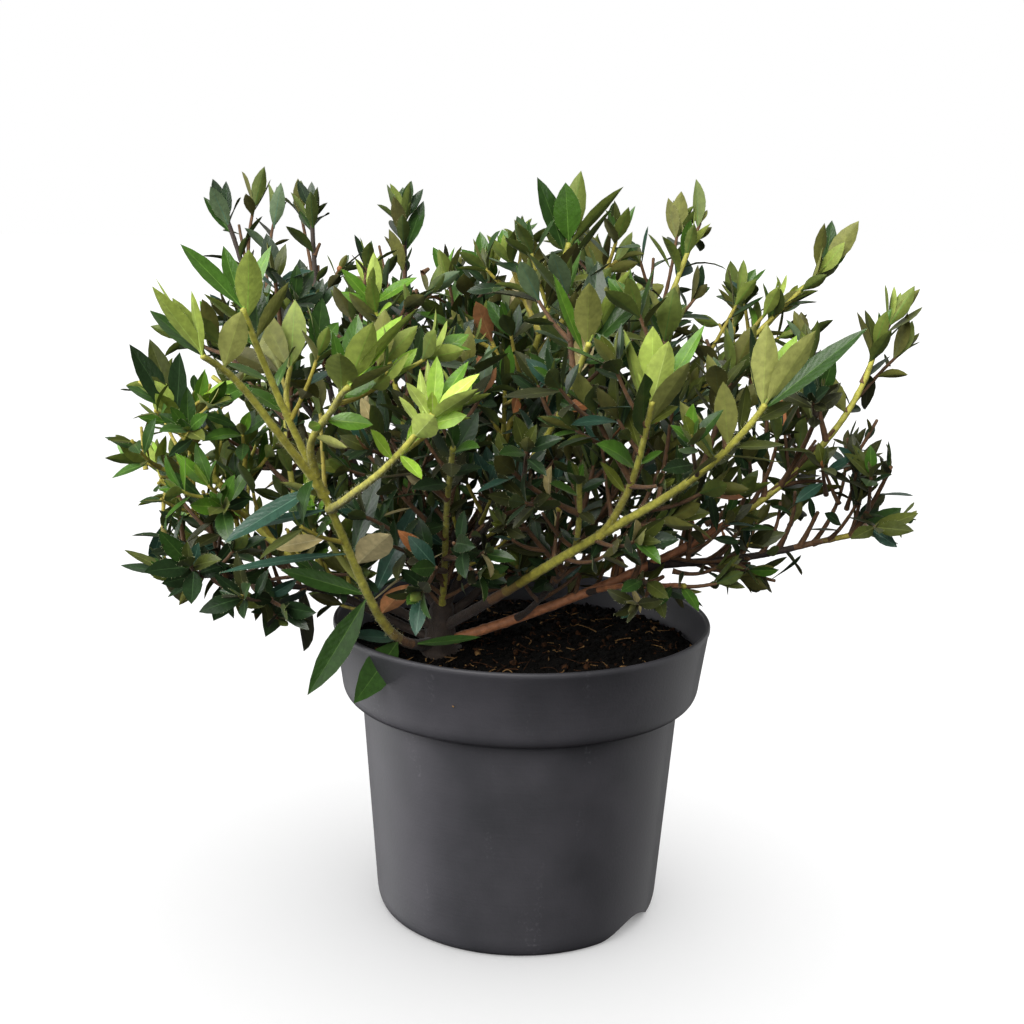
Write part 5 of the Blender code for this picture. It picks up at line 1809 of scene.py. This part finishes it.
def make_crumbs(coats, draw):
    """Loose crumbs all over the peat, and a heap of paler ones at its front."""
    seed_shape = bmesh.new()
    bmesh.ops.create_icosphere(seed_shape, subdivisions=1, radius=1.0)
    ball = np.array([vert.co for vert in seed_shape.verts])
    ball_faces = np.array([[vert.index for vert in face.verts] for face in seed_shape.faces])
    seed_shape.free()
    crumbs = Joined()
    for number in range(CRUMB_COUNT + HEAP_COUNT):
        x, y = chance_spot(draw, CRUMB_SPREAD)
        colours = CRUMB_COLOURS
        if number >= CRUMB_COUNT:
            x, y = chance_near(draw, HEAP_PLACE)
            colours = HEAP_COLOURS
        size = draw.uniform(*CRUMB_SIZE) ** CRUMB_RARITY * MM
        stretch = draw.uniform(*CRUMB_STRETCH, 3) * size
        spin = np.array(Matrix.Rotation(draw.uniform(0.0, math.tau), 3, draw.normal(0, 1, 3)))
        lump = (ball * stretch * draw.uniform(*CRUMB_DENTS, (len(ball), 1))) @ spin.T
        lump = lump + (x, y, (soil_height(x, y) + CRUMB_LIFT) * MM)
        crumbs.add(lump, (ball_faces,), (int(draw.choice(3, p=colours)),))
    return crumbs.make("peat_crumbs", coats)


def make_fibres(coats, draw):
    """Fine fibres on the peat, more of them at its front."""
    fibres = Joined()
    for _ in range(FIBRE_COUNT):
        x, y = chance_spot(draw, FIBRE_SPREAD)
        if draw.uniform() < FRONT_FIBRES:
            x, y = chance_near(draw, FRONT_PLACE)
            if math.hypot(x, y) > FIBRE_EDGE * MM:
                continue
        way = draw.uniform(0.0, math.tau)
        length = draw.uniform(*FIBRE_LENGTH) * MM
        start = np.array((x, y, (soil_height(x, y) + FIBRE_LIFT) * MM))
        end = start + np.array((math.cos(way), math.sin(way), draw.uniform(*FIBRE_RISE))) * length
        if math.hypot(end[0], end[1]) > (FIBRE_EDGE + 1.0) * MM:
            continue
        bend = (start + end) / 2 + draw.normal(0.0, FIBRE_BEND, 3) * length
        thick = draw.uniform(*FIBRE_HALF) * MM
        slot = int(draw.choice(2, p=FIBRE_COATS))
        radii = np.linspace(thick, thick * FIBRE_TAPER, FIBRE_STEPS + 1)
        fibres.add_tube(bezier(start, bend, end, FIBRE_STEPS), radii, FIBRE_SIDES, slot)
    return fibres.make("peat_fibres", coats)


# Build

def dress(piece, slot, *nodes):
    """Attach a piece to the root body and hide the parts of the frame that it stands for."""
    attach(piece, "root")
    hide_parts(*nodes)


def grow_plant():
    """Grow the plant and dress its limbs and masses."""
    draw = np.random.RandomState(SEED)
    curves = {}
    for bough in BOUGHS:
        curves[bough.name] = limb_curve(bough, curves, draw)
    limb_spots = np.concatenate([
        resample(curves[bough.name], 0.0, bough.enter, LIMB_SPOTS) for bough in BOUGHS
    ])
    masses, spots = grow_twigs(curves, limb_spots)
    sprays = grow_fine_sprays(masses, spots)
    sight = limbs_in_sight(curves)
    shoots = grow_limb_shoots(curves, spots, limb_spots, sight)
    grow_shoots(masses, shoots, spots, limb_spots, sight)
    blades = grow_leaves(masses, sprays, shoots, spots, limb_spots, curves, sight)
    barks = [
        bark_material("bark_%d" % index, code, 0.72 - 0.04 * index, 0.0006 - 0.00007 * index)
        for index, code in enumerate(BARK_CODES)
    ]
    arch = bark_material("bark_of_arch", ARCH_CODE, 0.55, 0.0004)
    scales = [bark_material("bud_" + name, code, 0.55, 0.0002) for name, code in BUD_CODES.items()]
    hair = bark_material("hair", HAIR_CODE, 0.6, 0.0001)
    mass_nodes = ["leaves_" + bough.name for bough in BOUGHS]
    bark = make_bark(curves, barks + [arch])
    dress(bark, "young_bark", "trunk", *["bough_" + bough.name for bough in BOUGHS])
    dress(make_twigs(masses, sprays, shoots, [barks[1], barks[3], barks[4]]), "young_bark", *mass_nodes)
    dress(make_buds(shoots, scales), "young_bark", *mass_nodes)
    dress(make_hairs(curves, blades, hair), "young_bark", *mass_nodes)
    for leaves in make_leaves(blades):
        dress(leaves, "leaf_green", *mass_nodes)


def fill_pot():
    """Make the pot and the peat in it."""
    dress(make_pot(pot_material()), "pot_plastic", "pot")
    peats = [
        peat_material("peat_dark", "020202", "0b0806", 500.0),
        peat_material("peat_brown", "1c110a", "402817", 700.0),
        peat_material("peat_pale", "5c4229", "8a6c45", 700.0),
    ]
    draw = np.random.RandomState(SEED + 41)
    dress(make_surface(peats[0]), "peat", "soil")
    dress(make_crumbs(peats, draw), "peat", "soil")
    dress(make_fibres(peats[1:], draw), "peat", "soil")


# Studio

WHITE = (1.0, 1.0, 1.0)
IMAGE_SIZE = 1024.0
FOCAL_PIXELS = 1488.0
SENSOR_WIDTH = 36.0
CAMERA_DOWN = 12.1
CAMERA_ROLL = 1.12


def add_sun(name, way, spread, strength, colour, things, wanted):
    """A wide soft light from a direction, which lights only the things, or all but them."""
    lamp = bpy.data.lights.new(name, "SUN")
    lamp.energy = strength
    lamp.angle = math.radians(spread)
    lamp.color = colour
    made = put(name, lamp)
    made.rotation_euler = (-Vector(way)).to_track_quat("-Z", "Y").to_euler()
    lit = bpy.data.collections.new(name + "_lit")
    for thing in things:
        lit.objects.link(thing)
    made.light_linking.receiver_collection = lit
    for member in lit.collection_objects:
        member.light_linking.link_state = "INCLUDE" if wanted else "EXCLUDE"
    return made


def make_floor():
    """A pale floor that casts no light back on the plant."""
    bm = bmesh.new()
    bmesh.ops.create_grid(bm, x_segments=8, y_segments=8, size=9.0)
    coat = Finish("floor_white", {
        "Base Color": (0.85, 0.85, 0.85, 1.0), "Roughness": 0.9, "Specular IOR Level": 0.1,
        "Emission Color": (*WHITE, 1.0), "Emission Strength": 0.15,
    }).made
    floor = object_of("floor", bm, [coat], False)
    floor.visible_diffuse = False
    floor.visible_glossy = False
    return floor


def light_scene(floor):
    """White surroundings that only the camera sees, and wide soft lights."""
    world = bpy.data.worlds.new("studio")
    bpy.context.scene.world = world
    world.use_nodes = True
    world.node_tree.nodes["Background"].inputs["Color"].default_value = (*WHITE, 1.0)
    world.cycles_visibility.diffuse = False
    world.cycles_visibility.glossy = False
    pot = [thing for thing in bpy.data.objects if thing.name.startswith("pot_shell")]
    add_sun("key", (-0.5, -1.0, 0.9), 45.0, 3.7, (1.0, 0.99, 0.94), [floor], False)
    add_sun("side", (-1.0, -0.1, 0.4), 50.0, 2.6, WHITE, [floor], False)
    add_sun("fill", (0.2, -1.0, 0.28), 70.0, 1.2, WHITE, [floor], False)
    add_sun("rim", (0.1, 0.9, 0.9), 60.0, 0.35, (1.0, 1.0, 0.96), [floor], False)
    add_sun("dome", (0.0, 0.0, 1.0), 175.0, 0.3, (1.0, 1.0, 0.97), [floor], False)
    add_sun("pot_left", (-1.0, 0.35, 0.0), 80.0, 2.6, WHITE, pot, True)
    add_sun("pot_right", (1.0, 0.5, -0.1), 80.0, 1.4, WHITE, pot, True)
    overhead = add_sun("overhead", (0.0, 0.0, 1.0), 150.0, 3.85, WHITE, [floor], True)
    shading = bpy.data.collections.new("shade_on_floor")
    for thing in bpy.data.objects:
        if thing.name.startswith(("pot_shell", "peat_surface")):
            shading.objects.link(thing)
    overhead.light_linking.blocker_collection = shading


def set_camera():
    """The camera where the plant looks as it should, a little above the pot's rim."""
    lens = bpy.data.cameras.new("camera")
    lens.lens = FOCAL_PIXELS / IMAGE_SIZE * SENSOR_WIDTH
    lens.sensor_width = SENSOR_WIDTH
    lens.clip_start = 0.05
    lens.clip_end = 50.0
    camera = put("camera", lens)
    camera.matrix_world = (
        Matrix.Translation(v3(*EYE))
        @ Matrix.Rotation(math.pi / 2 - math.radians(CAMERA_DOWN), 4, "X")
        @ Matrix.Rotation(math.radians(CAMERA_ROLL), 4, "Z")
    )
    bpy.context.scene.camera = camera
    bpy.context.scene.view_settings.view_transform = "Standard"


grow_plant()
fill_pot()
light_scene(make_floor())
set_camera()
bpy.context.view_layer.update()
